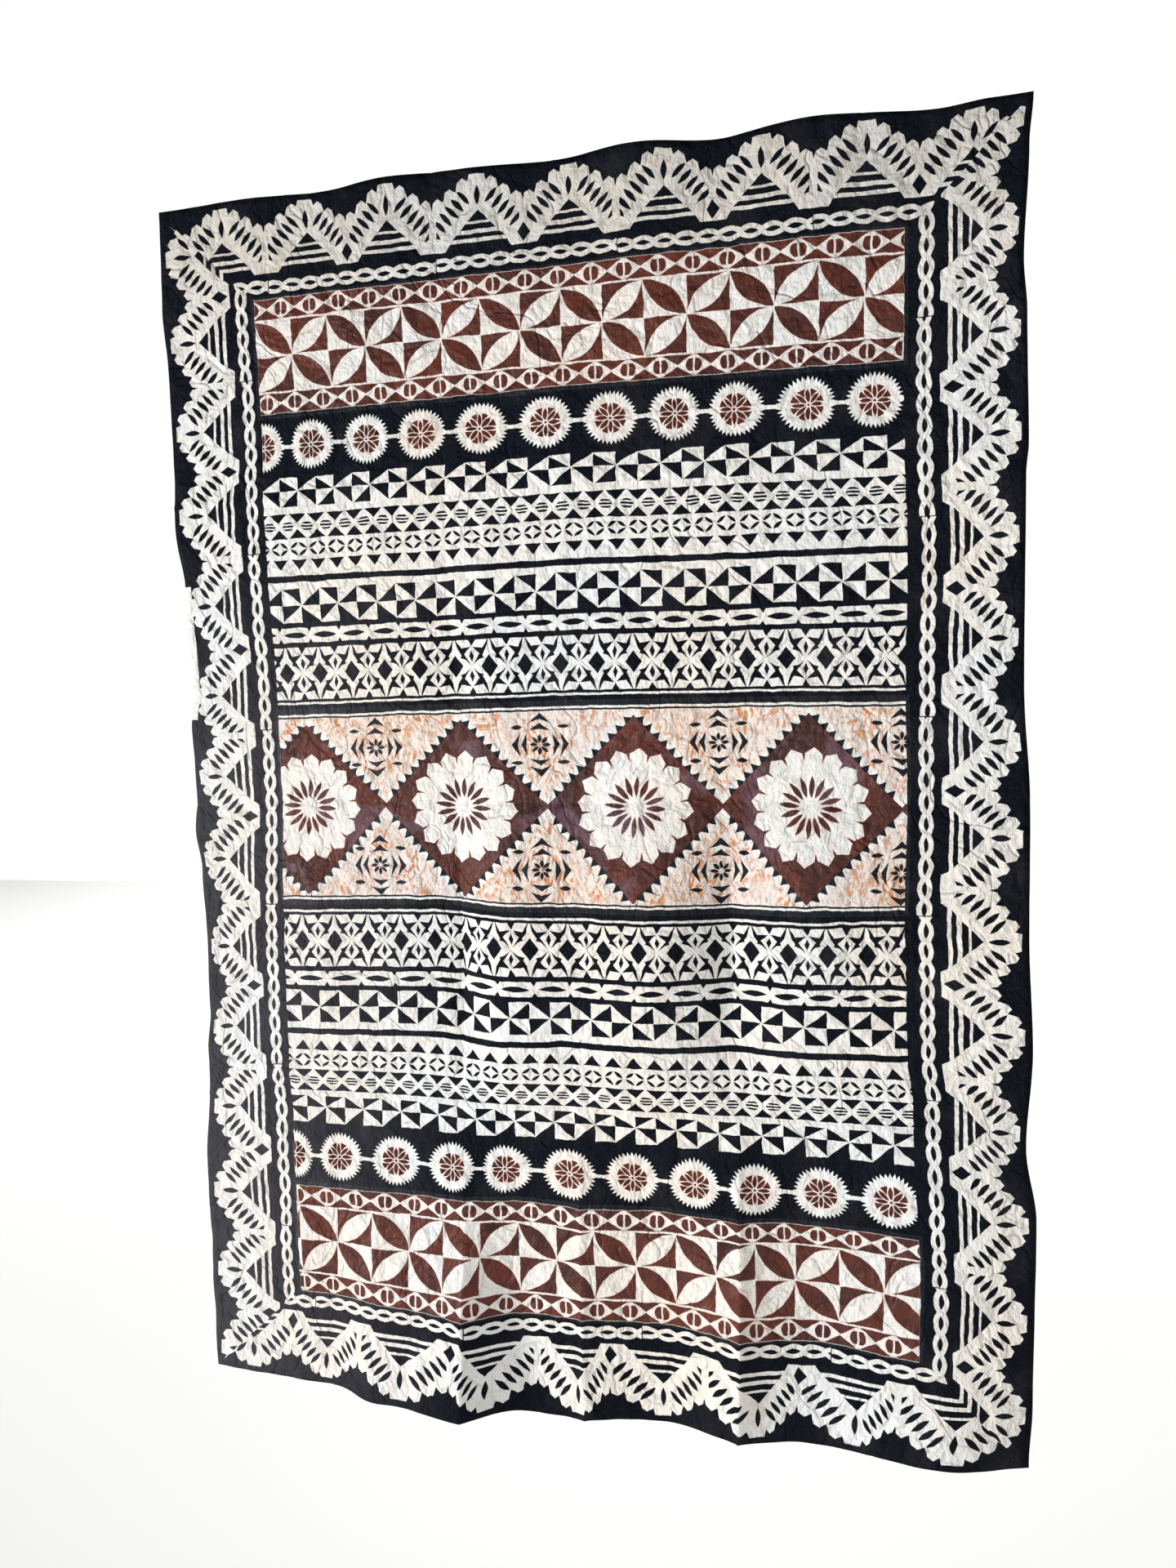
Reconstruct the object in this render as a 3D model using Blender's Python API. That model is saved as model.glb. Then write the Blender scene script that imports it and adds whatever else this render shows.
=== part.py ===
"""A stencilled bark cloth that hangs from its top edge.

The cloth is one sheet of beaten bark, 1.25 m wide and 1.82 m long. Its printed face looks
towards -Y. It was stored folded in thirds and quarters, so creases part it into panels, and each
panel stands off by its own amount: the upper half hangs nearly flat, the middle panel bulges
below the half-way crease, and the upright creases turn into ridges that grow down to the hem.
The origin is the middle of the top edge, on the sheet. Units are metres, +Z is up.
"""

import math
from typing import NamedTuple

import bmesh
import bpy

WIDTH = 1.25
LENGTH = 1.82
THICKNESS = 0.0012
LARGEST_STEP = 0.055
EDGE_REACH = 0.12
CREASE_SLOPE = 1.35
MM = 0.001

BARK_COLOUR = (0.42, 0.36, 0.30, 1.0)
BARK_ROUGHNESS = 0.85


class Level(NamedTuple):
    """A height at which the folds change: a level crease, or the middle of a panel."""

    name: str
    down: float
    crease: bool


class Fold(NamedTuple):
    """A line down the sheet, and how far it stands off towards the viewer at each level."""

    name: str
    across: float
    crease: bool
    stand_off_mm: tuple


class EdgePoint(NamedTuple):
    """A point of an uneven cut edge: its place along the edge and how far it lies outwards."""

    along: float
    outwards_mm: float


LEVELS = (
    Level("top edge", 0.000, False),
    Level("upper crease", 0.440, True),
    Level("upper panel", 0.670, False),
    Level("middle crease", 0.900, True),
    Level("lower panel", 1.130, False),
    Level("lower crease", 1.365, True),
    Level("upper skirt", 1.510, False),
    Level("lower skirt", 1.700, False),
    Level("hem", 1.820, True),
)

# Each tuple gives the stand-off at the top edge, upper crease, upper panel, middle crease,
# lower panel, lower crease, upper skirt, lower skirt and hem.
FOLDS = (
    Fold("left edge", 0.000, True, (0, 9, 2, -7, 0, -5, 0, 0, 0)),
    Fold("left panel", 0.200, False, (2, 8, 0, -9, -2, -5, 0, 4, 9)),
    Fold("left shoulder", 0.300, False, (5, 8, 2, -8, -8, -6, 4, 25, 45)),
    Fold("left crease", 0.440, True, (2, 6, -3, -10, -18, 3, 14, 46, 67)),
    Fold("left of middle", 0.530, False, (4, 3, 6, 0, 26, 8, 2, 5, 12)),
    Fold("middle crease", 0.622, True, (0, 8, 5, -3, 18, 6, 12, 18, 18)),
    Fold("right of middle", 0.735, False, (5, 4, 8, 4, 30, 10, 2, 3, 2)),
    Fold("right crease", 0.853, True, (-3, 6, 2, -7, -12, 5, 17, 34, 31)),
    Fold("right panel", 0.960, False, (4, 2, 5, 0, 20, 6, 2, 3, 6)),
    Fold("right swell", 1.118, False, (-2, 4, 2, -2, 6, 8, 16, 25, 36)),
    Fold("right edge", 1.250, True, (0, 7, 2, -8, 0, -4, 4, 4, 3)),
)

TOP_EDGE = (
    EdgePoint(0.000, 4.0),
    EdgePoint(0.150, 6.0),
    EdgePoint(0.276, 0.0),
    EdgePoint(0.373, 9.0),
    EdgePoint(0.484, 5.0),
    EdgePoint(0.622, 0.0),
    EdgePoint(0.736, 8.0),
    EdgePoint(0.850, 0.0),
    EdgePoint(0.978, 9.5),
    EdgePoint(1.139, 0.0),
    EdgePoint(1.200, 4.0),
    EdgePoint(1.250, 4.0),
)

HEM_EDGE = (
    EdgePoint(0.000, 0.0),
    EdgePoint(0.200, 3.0),
    EdgePoint(0.570, 4.0),
    EdgePoint(0.720, 1.0),
    EdgePoint(0.920, 2.0),
    EdgePoint(1.250, 0.0),
)

LEFT_EDGE = (
    EdgePoint(0.000, 0.0),
    EdgePoint(0.140, 2.0),
    EdgePoint(0.245, -5.0),
    EdgePoint(0.400, -8.0),
    EdgePoint(0.480, -5.0),
    EdgePoint(0.560, -14.0),
    EdgePoint(0.720, -20.0),
    EdgePoint(0.785, -10.0),
    EdgePoint(0.880, -9.0),
    EdgePoint(0.940, -5.0),
    EdgePoint(1.000, -14.0),
    EdgePoint(1.120, -19.0),
    EdgePoint(1.225, -16.0),
    EdgePoint(1.300, -8.0),
    EdgePoint(1.470, 2.0),
    EdgePoint(1.820, 2.0),
)

RIGHT_EDGE = (
    EdgePoint(0.000, 0.0),
    EdgePoint(0.060, -5.0),
    EdgePoint(0.200, -11.0),
    EdgePoint(0.265, -7.0),
    EdgePoint(0.430, -5.0),
    EdgePoint(0.470, -8.0),
    EdgePoint(0.740, -9.0),
    EdgePoint(0.905, 0.0),
    EdgePoint(1.080, -1.0),
    EdgePoint(1.235, 4.0),
    EdgePoint(1.370, -4.0),
    EdgePoint(1.470, 9.0),
    EdgePoint(1.720, 5.0),
    EdgePoint(1.820, 0.0),
)


def eased(fraction, start_is_crease, end_is_crease):
    """The way from 0 to 1, level at a round end and steep at a creased one."""
    start_slope = CREASE_SLOPE if start_is_crease else 0.0
    end_slope = CREASE_SLOPE if end_is_crease else 0.0
    squared, cubed = fraction**2, fraction**3
    rise = 3 * squared - 2 * cubed
    return (
        rise
        + start_slope * (cubed - 2 * squared + fraction)
        + end_slope * (cubed - squared)
    )


def place_between(places, at):
    """The number of the gap that holds this place, and the fraction of the gap before it."""
    gap = 0
    while gap < len(places) - 2 and at > places[gap + 1]:
        gap += 1
    return gap, (at - places[gap]) / (places[gap + 1] - places[gap])


def stand_off(across, down):
    """How far the sheet stands off towards the viewer at a point of the flat cloth."""
    fold, part_across = place_between([line.across for line in FOLDS], across)
    level, part_down = place_between([line.down for line in LEVELS], down)
    before, after = FOLDS[fold], FOLDS[fold + 1]
    above, below = LEVELS[level], LEVELS[level + 1]
    sideways = eased(part_across, before.crease, after.crease)
    downwards = eased(part_down, above.crease, below.crease)
    heights = []
    for row in (level, level + 1):
        near, far = before.stand_off_mm[row], after.stand_off_mm[row]
        heights.append(near + (far - near) * sideways)
    return MM * (heights[0] + (heights[1] - heights[0]) * downwards)


def outwards(edge, along):
    """How far a cut edge lies outwards at this place along it."""
    gap, part = place_between([point.along for point in edge], along)
    start, end = edge[gap].outwards_mm, edge[gap + 1].outwards_mm
    return MM * (start + (end - start) * eased(part, False, False))


def fade(distance):
    """The share of an edge's unevenness that is left this far inside the edge."""
    return max(0.0, 1.0 - distance / EDGE_REACH) ** 2


def hung_point(across, down):
    """Where a point of the flat cloth lies when it hangs."""
    from_left = outwards(LEFT_EDGE, down) * fade(across)
    from_right = outwards(RIGHT_EDGE, down) * fade(WIDTH - across)
    from_top = outwards(TOP_EDGE, across) * fade(down)
    from_hem = outwards(HEM_EDGE, across) * fade(LENGTH - down)
    return (
        across - WIDTH / 2 - from_left + from_right,
        -stand_off(across, down),
        from_top - down - from_hem,
    )


def grid_lines(marks):
    """The marks, with equal steps between them that are no longer than LARGEST_STEP."""
    lines = [marks[0]]
    for start, end in zip(marks, marks[1:]):
        steps = math.ceil((end - start) / LARGEST_STEP)
        lines += [start + (end - start) * step / steps for step in range(1, steps + 1)]
    return lines


def bark_material():
    """The bare colour of beaten bark cloth, dull and without metal."""
    material = bpy.data.materials.new("bark_cloth")
    material.use_nodes = True
    shader = material.node_tree.nodes["Principled BSDF"]
    shader.inputs["Base Color"].default_value = BARK_COLOUR
    shader.inputs["Roughness"].default_value = BARK_ROUGHNESS
    shader.inputs["Metallic"].default_value = 0.0
    return material


def hung_sheet():
    """The sheet as a grid whose lines follow the creases, given its thickness by a modifier."""
    columns = grid_lines([fold.across for fold in FOLDS])
    rows = grid_lines([level.down for level in LEVELS])
    grid = bmesh.new()
    bmesh.ops.create_grid(
        grid, x_segments=len(columns) - 1, y_segments=len(rows) - 1, size=1.0
    )
    for vertex in grid.verts:
        column = round((vertex.co.x + 1) / 2 * (len(columns) - 1))
        row = round((1 - vertex.co.y) / 2 * (len(rows) - 1))
        vertex.co = hung_point(columns[column], rows[row])
    bmesh.ops.recalc_face_normals(grid, faces=grid.faces)
    mesh = bpy.data.meshes.new("tapa_cloth")
    grid.to_mesh(mesh)
    grid.free()
    mesh.shade_smooth()
    mesh.materials.append(bark_material())
    sheet = bpy.data.objects.new("tapa_cloth", mesh)
    bpy.context.scene.collection.objects.link(sheet)
    wall = sheet.modifiers.new("thickness", "SOLIDIFY")
    wall.thickness = THICKNESS
    wall.offset = 0.0
    wall.use_even_offset = True
    return sheet


def main():
    """Clears the scene and models the cloth."""
    for old in list(bpy.data.objects):
        bpy.data.objects.remove(old, do_unlink=True)
    hung_sheet()


main()
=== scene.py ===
"""A stencilled bark cloth that hangs from its top edge, dressed for the render.

The cloth is one thin sheet on the folds of its solid, with its storage creases, small crumples and
wavering cut edges. Its prints are stencils worked out by shader nodes: every band of the print is
a class that holds its sizes in millimetres and says where the ink goes. The print is laid out on
a drawing 1240 mm wide and 1860 mm long, which is stretched a little to the cloth's own size.
Units are metres where nothing else is said, +Z is up and the printed face looks towards -Y.
"""

import logging
import math
from dataclasses import dataclass
from enum import Enum
from typing import NamedTuple, Protocol

import bmesh
import bpy
from mathutils import Matrix, Vector, noise


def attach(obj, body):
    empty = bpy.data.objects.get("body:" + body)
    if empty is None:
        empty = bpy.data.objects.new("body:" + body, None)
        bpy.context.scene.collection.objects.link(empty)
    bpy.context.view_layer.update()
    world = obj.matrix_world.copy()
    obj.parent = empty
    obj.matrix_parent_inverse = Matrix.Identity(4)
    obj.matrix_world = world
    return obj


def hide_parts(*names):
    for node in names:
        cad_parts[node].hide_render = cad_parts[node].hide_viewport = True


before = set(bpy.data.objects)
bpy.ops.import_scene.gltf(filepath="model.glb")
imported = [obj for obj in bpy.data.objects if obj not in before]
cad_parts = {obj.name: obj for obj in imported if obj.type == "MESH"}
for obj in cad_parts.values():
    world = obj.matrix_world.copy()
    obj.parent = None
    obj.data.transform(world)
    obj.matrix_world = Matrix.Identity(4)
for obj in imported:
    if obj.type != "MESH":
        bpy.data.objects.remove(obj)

LOG = logging.getLogger("tapa_cloth")
MM = 0.001
DRAWING_WIDTH = 1240.0
DRAWING_LENGTH = 1860.0
# Columns of the drawing: the bands' faces fill the field, and their prints the panel in it.
FIELD_LEFT = 144.0
PANEL_LEFT = 149.0
PANEL_RIGHT = 1085.0
FIELD_RIGHT = 1090.0
# The sine of 45 degrees, the slant of the border's limbs.
DIAGONAL = 0.7071


class Level(NamedTuple):
    """A height at which the folds change: a level crease, or the middle of a panel."""

    name: str
    down: float
    crease: bool


class Fold(NamedTuple):
    """A line down the sheet, and how far it stands off towards the viewer at each level."""

    name: str
    across: float
    crease: bool
    stand_off_mm: tuple[float, ...]


class EdgePoint(NamedTuple):
    """A point of an uneven cut edge: its place along the edge and how far it lies outwards."""

    along: float
    outwards_mm: float


class Crease(NamedTuple):
    """A pressed line of the folded cloth: where it runs and how far it stands up or sinks."""

    name: str
    upright: bool
    at: float
    start: float
    end: float
    rise_mm: float
    half_width_mm: float


class Drift(NamedTuple):
    """How far the print has slipped at one height: sideways at the left border, the middle and
    the right border, and downwards at the left border, on both sides of the left crease, at
    the middle, at the right crease and at the right border."""

    name: str
    row: float
    sideways: tuple[float, float, float]
    downwards: tuple[float, ...]


class Band(NamedTuple):
    """A strip of the print: its first and last row on the drawing, the rows of the stencil that
    come there, and its marks, which are pairs of a motif's number and the column it stands on.
    Where the numbers fall, the stencil was laid the other way round."""

    stencil: str
    first_row: float
    last_row: float
    stencil_first: float
    stencil_last: float
    marks: tuple[tuple[int, float], ...]


LEVELS = (
    Level("top edge", 0.000, False),
    Level("upper crease", 0.440, True),
    Level("upper panel", 0.670, False),
    Level("middle crease", 0.900, True),
    Level("lower panel", 1.130, False),
    Level("lower crease", 1.365, True),
    Level("upper skirt", 1.510, False),
    Level("lower skirt", 1.700, False),
    Level("hem", 1.820, True),
)

# Each tuple gives the stand-off at the top edge, upper crease, upper panel, middle crease,
# lower panel, lower crease, upper skirt, lower skirt and hem.
FOLDS = (
    Fold("left edge", 0.000, True, (0, 9, 2, -7, 0, -5, 0, 0, 0)),
    Fold("left panel", 0.200, False, (2, 8, 0, -9, -2, -5, 0, 4, 9)),
    Fold("left shoulder", 0.300, False, (5, 8, 2, -8, -8, -6, 4, 25, 45)),
    Fold("left crease", 0.440, True, (2, 6, -3, -10, -18, 3, 14, 46, 67)),
    Fold("left of middle", 0.530, False, (4, 3, 6, 0, 26, 8, 2, 5, 12)),
    Fold("middle crease", 0.622, True, (0, 8, 5, -3, 18, 6, 12, 18, 18)),
    Fold("right of middle", 0.735, False, (5, 4, 8, 4, 30, 10, 2, 3, 2)),
    Fold("right crease", 0.853, True, (-3, 6, 2, -7, -12, 5, 17, 34, 31)),
    Fold("right panel", 0.960, False, (4, 2, 5, 0, 20, 6, 2, 3, 6)),
    Fold("right swell", 1.118, False, (-2, 4, 2, -2, 6, 8, 16, 25, 36)),
    Fold("right edge", 1.250, True, (0, 7, 2, -8, 0, -4, 4, 4, 3)),
)

TOP_EDGE = (
    EdgePoint(0.000, 4.0),
    EdgePoint(0.150, 6.0),
    EdgePoint(0.276, 0.0),
    EdgePoint(0.373, 9.0),
    EdgePoint(0.484, 5.0),
    EdgePoint(0.622, 0.0),
    EdgePoint(0.736, 8.0),
    EdgePoint(0.850, 0.0),
    EdgePoint(0.978, 9.5),
    EdgePoint(1.139, 0.0),
    EdgePoint(1.200, 4.0),
    EdgePoint(1.250, 4.0),
)

HEM_EDGE = (
    EdgePoint(0.000, 0.0),
    EdgePoint(0.200, 3.0),
    EdgePoint(0.570, 4.0),
    EdgePoint(0.720, 1.0),
    EdgePoint(0.920, 2.0),
    EdgePoint(1.250, 0.0),
)

LEFT_EDGE = (
    EdgePoint(0.000, 0.0),
    EdgePoint(0.140, 2.0),
    EdgePoint(0.245, -5.0),
    EdgePoint(0.400, -8.0),
    EdgePoint(0.480, -5.0),
    EdgePoint(0.560, -14.0),
    EdgePoint(0.720, -20.0),
    EdgePoint(0.785, -10.0),
    EdgePoint(0.880, -9.0),
    EdgePoint(0.940, -5.0),
    EdgePoint(1.000, -14.0),
    EdgePoint(1.120, -19.0),
    EdgePoint(1.225, -16.0),
    EdgePoint(1.300, -8.0),
    EdgePoint(1.470, 2.0),
    EdgePoint(1.820, 2.0),
)

RIGHT_EDGE = (
    EdgePoint(0.000, 0.0),
    EdgePoint(0.060, -5.0),
    EdgePoint(0.200, -11.0),
    EdgePoint(0.265, -7.0),
    EdgePoint(0.430, -5.0),
    EdgePoint(0.470, -8.0),
    EdgePoint(0.740, -9.0),
    EdgePoint(0.905, 0.0),
    EdgePoint(1.080, -1.0),
    EdgePoint(1.235, 4.0),
    EdgePoint(1.370, -4.0),
    EdgePoint(1.470, 9.0),
    EdgePoint(1.720, 5.0),
    EdgePoint(1.820, 0.0),
)

# A crease fades out over 60 mm at each end, so one that runs from edge to edge ends outside.
CREASES = (
    Crease("left third", True, 0.440, -0.06, 1.88, -1.6, 9.0),
    Crease("middle", True, 0.622, -0.06, 1.88, 1.8, 8.0),
    Crease("right third", True, 0.853, -0.06, 1.88, 1.5, 9.0),
    Crease("left sixth", True, 0.212, -0.06, 1.88, 0.9, 7.0),
    Crease("right sixth", True, 1.040, -0.06, 1.88, -0.9, 7.0),
    Crease("upper quarter", False, 0.440, -0.06, 1.31, 1.7, 8.0),
    Crease("half way", False, 0.900, -0.06, 1.31, -1.8, 8.0),
    Crease("lower quarter", False, 1.365, -0.06, 1.31, 1.8, 8.0),
    Crease("left trough", True, 0.440, 0.92, 1.34, -2.2, 10.0),
    Crease("left ridge", True, 0.440, 1.42, 1.84, 4.4, 12.0),
    Crease("right ridge", True, 0.853, 1.36, 1.84, 2.4, 11.0),
    Crease("left of the ridge", True, 0.345, 1.50, 1.78, -1.6, 14.0),
    Crease("middle of the skirt", True, 0.622, 1.44, 1.84, 1.4, 10.0),
)

DRIFTS = (
    Drift("top edge", 0.0, (0, 0, 0), (0, 0, 0, 0, 0, 0)),
    Drift("chain", 128.5, (3, 0, -2), (-1, -1, -1, -1, -1, 0)),
    Drift("rosettes", 368.0, (8, 0, -4), (0, -2, -3, -4, -1, 2)),
    Drift("wheels", 437.0, (7, 0, -3), (-2, -4, -6, -7, -3, 0)),
    Drift("line", 571.0, (5, 0, 0), (-3, -4, -5, -7, -3, -1)),
    Drift("second wheels", 611.0, (6, 0, 0), (-3, -4, -5, -7, -3, -1)),
    Drift("stars", 717.0, (10, 0, -3), (-3, -5, -6, -6, -4, -2)),
    Drift("upper bar", 790.0, (9, 0, -3), (-3, -6, -6, -8, -7, -4)),
    Drift("middle", 928.0, (7, 0, -2), (-4, -7, -4, -4, -5, 0)),
    Drift("lower bar", 1095.0, (3, 0, -6), (0, -3, 0, 0, 1, -3)),
    Drift("lower stars", 1136.0, (2, 0, -5), (-2, -7, -5, -5, -7, -7)),
    Drift("lower links", 1200.0, (1, 0, -4), (-6, -8, -6, -8, -8, -10)),
    Drift("lower wheels", 1248.0, (0, 0, -4), (-7, -10, -6, -10, -12, -11)),
    Drift("lower line", 1289.0, (0, 0, -3), (-6, -9, -4, -10, -10, -11)),
    Drift("lower eyes", 1350.0, (-2, 0, 4), (-4, -6, -5, -8, -9, -10)),
    Drift("last wheels", 1415.0, (2, 0, 5), (-10, -12, -10, -15, -14, -14)),
    Drift("lower rosettes", 1491.0, (3, 0, 9), (-6, -8, -8, -11, -8, -5)),
    Drift("lower petals", 1600.0, (4, 0, 13), (-3, -5, -8, -8, -13, -9)),
    Drift("lower chain", 1745.0, (5, 0, 10), (-1, -2, 0, -9, -9, -4)),
    Drift("hem", 1860.0, (0, 0, 0), (0, 0, 0, 0, 0, 0)),
)
SIDEWAYS_COLUMNS = (0.0, 128.0, 620.0, 1112.0, 1240.0)
DOWNWARDS_COLUMNS = (0.0, 150.0, 400.0, 445.0, 620.0, 850.0, 1090.0, 1240.0)

ROSETTE_MARKS = tuple(enumerate((151, 229, 320, 405, 497, 596, 689, 780, 862, 961, 1048)))
LOWER_ROSETTE_MARKS = tuple(enumerate((150, 225, 323, 419, 499, 602, 694, 785, 868, 957, 1051)))
LOZENGE_MARKS = tuple(enumerate((195, 448, 713, 957)))
UPPER_WHEEL_MARKS = ((0, 206), (4, 441), (5, 504), (9, 758), (14, 1063))
UPPER_LINK_MARKS = ((0, 187), (4, 382), (7, 534), (10, 676), (18, 1065))
UPPER_STAR_MARKS = ((0, 195), (3, 359), (6, 528), (8, 635), (16, 1060))
LOWER_STAR_MARKS = ((0, 206), (3, 368), (5, 471), (8, 639), (12, 848), (16, 1061))
LOWER_LINK_MARKS = ((0, 192), (4, 411), (5, 474), (7, 588), (10, 734), (13, 877), (17, 1066))
TURNED_WHEEL_MARKS = ((0, 206), (-3, 396), (-7, 643), (-9, 767), (-14, 1069))
LOWER_EYE_MARKS = ((0, 205), (6, 395), (9, 485), (15, 673), (20, 827), (22, 882), (28, 1065))
LAST_WHEEL_MARKS = ((0, 206), (-3, 396), (-4, 457), (-7, 642), (-10, 821), (-14, 1059))
LAST_PETAL_COLUMNS = (217, 343, 459, 577, 696, 813, 919, 1038)
LAST_PETAL_MARKS = tuple((-count, column) for count, column in enumerate(LAST_PETAL_COLUMNS))

BANDS = (
    Band("petal_print", 143.0, 325.0, 143.0, 325.0, ((0, 207), (7, 1035))),
    Band("rosette_print", 325.0, 411.5, 325.0, 411.5, ROSETTE_MARKS),
    Band("pinwheel_print", 411.5, 467.0, 411.5, 467.0, UPPER_WHEEL_MARKS),
    Band("eye_row_print", 467.0, 581.0, 467.0, 581.0, ((0, 203), (28, 1063))),
    Band("turned_pinwheel_print", 581.0, 640.0, 581.0, 640.0, ((0, 201), (6, 574), (14, 1062))),
    Band("link_print", 640.0, 674.0, 640.0, 674.0, UPPER_LINK_MARKS),
    Band("star_print", 674.0, 772.0, 674.0, 772.0, UPPER_STAR_MARKS),
    Band("lozenge_print", 772.0, 1078.5, 772.0, 1078.5, LOZENGE_MARKS),
    Band("star_print", 1078.5, 1184.5, 772.0, 674.0, LOWER_STAR_MARKS),
    Band("link_print", 1184.5, 1220.0, 674.0, 640.0, LOWER_LINK_MARKS),
    Band("turned_pinwheel_print", 1220.0, 1279.0, 640.0, 581.0, TURNED_WHEEL_MARKS),
    Band("eye_row_print", 1279.0, 1393.0, 581.0, 467.0, LOWER_EYE_MARKS),
    Band("pinwheel_print", 1393.0, 1417.0, 467.0, 437.5, LAST_WHEEL_MARKS),
    Band("pinwheel_print", 1417.0, 1448.5, 437.5, 411.5, LAST_WHEEL_MARKS),
    Band("rosette_print", 1448.5, 1535.0, 411.5, 325.0, LOWER_ROSETTE_MARKS),
    Band("last_petal_print", 1535.0, 1719.0, 325.0, 143.0, LAST_PETAL_MARKS),
)

TOP_TIPS = (103, 241, 367, 505, 637, 770, 901, 1037, 1170)
HEM_TIPS = (66, 195, 330, 465, 609, 734, 873, 1007, 1138)
HEM_FEET = (134, 254, 418, 543, 655, 795, 924, 1058)
LEFT_TIPS = (70, 199, 336, 464, 605, 746, 874, 1007, 1149, 1282, 1417, 1557, 1692, 1826)
RIGHT_TIPS = (28, 161, 292, 426, 559, 695, 836, 967, 1111, 1242, 1380, 1507, 1649, 1782)


class Paint(Enum):
    """The colours of the cloth and its surroundings, as red, green and blue from 0 to 255."""

    WARM_BARK = (223, 217, 207)
    COOL_BARK = (216, 218, 217)
    # Painted shade: the grey that darkens the bark along the top edge.
    SHADED_TOP_BARK = (150, 143, 131)
    STAINED_BARK = (196, 178, 158)
    PINK_HALO = (226, 204, 194)
    SOOT = (8, 13, 21)
    # Greyed soot: real wear and specks, and also painted sheen towards the lower left.
    WORN_AND_SHEENED_SOOT = (58, 57, 61)
    CLAY = (93, 38, 21)
    DARK_CLAY = (50, 19, 17)
    # Painted reflection: the sky's glossy sheen on the brown lozenges.
    VIOLET_SKY_SHEEN = (100, 73, 85)
    SMUDGE = (192, 122, 70)
    FLOOR = (236, 236, 234)

    @property
    def linear(self) -> tuple[float, float, float, float]:
        """Turns the colour into what the shaders want.

        Returns:
            Red, green and blue from 0 to 1 in even steps of light, and full cover.
        """
        parts = [part / 255 for part in self.value]
        curved = [p / 12.92 if p <= 0.04045 else ((p + 0.055) / 1.055) ** 2.4 for p in parts]
        return (*curved, 1.0)


class Side(Enum):
    """Which part of the sheet a face belongs to."""

    PRINTED = 1
    BACK = 2
    CUT_EDGE = 3


def place_between(places: list[float], at: float) -> tuple[int, float]:
    """Finds the gap between neighbouring places that holds a point.

    Args:
        places: Rising numbers.
        at: The point.

    Returns:
        The number of the gap, and the fraction of the gap before the point.
    """
    gap = 0
    while gap < len(places) - 2 and at > places[gap + 1]:
        gap += 1
    return gap, (at - places[gap]) / (places[gap + 1] - places[gap])


def smooth_between(places: list[float], values: tuple[float, ...], at: float) -> float:
    """Reads a short table at a point, level at its entries and smooth between them.

    Args:
        places: Where the entries stand.
        values: The entries.
        at: The point, which may lie outside the table.

    Returns:
        The value at the point.
    """
    gap, part = place_between(places, at)
    part = min(1.0, max(0.0, part))
    return values[gap] + (values[gap + 1] - values[gap]) * part * part * (3 - 2 * part)


def counted(marks: tuple[float, ...], at: float) -> float:
    """Counts repeats from the first mark, with every mark on a whole number.

    Args:
        marks: The columns or rows where the repeats are centred.
        at: A column or row.

    Returns:
        The count, which runs on evenly before the first mark and after the last.
    """
    gap, part = place_between(list(marks), at)
    return gap + part


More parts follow.
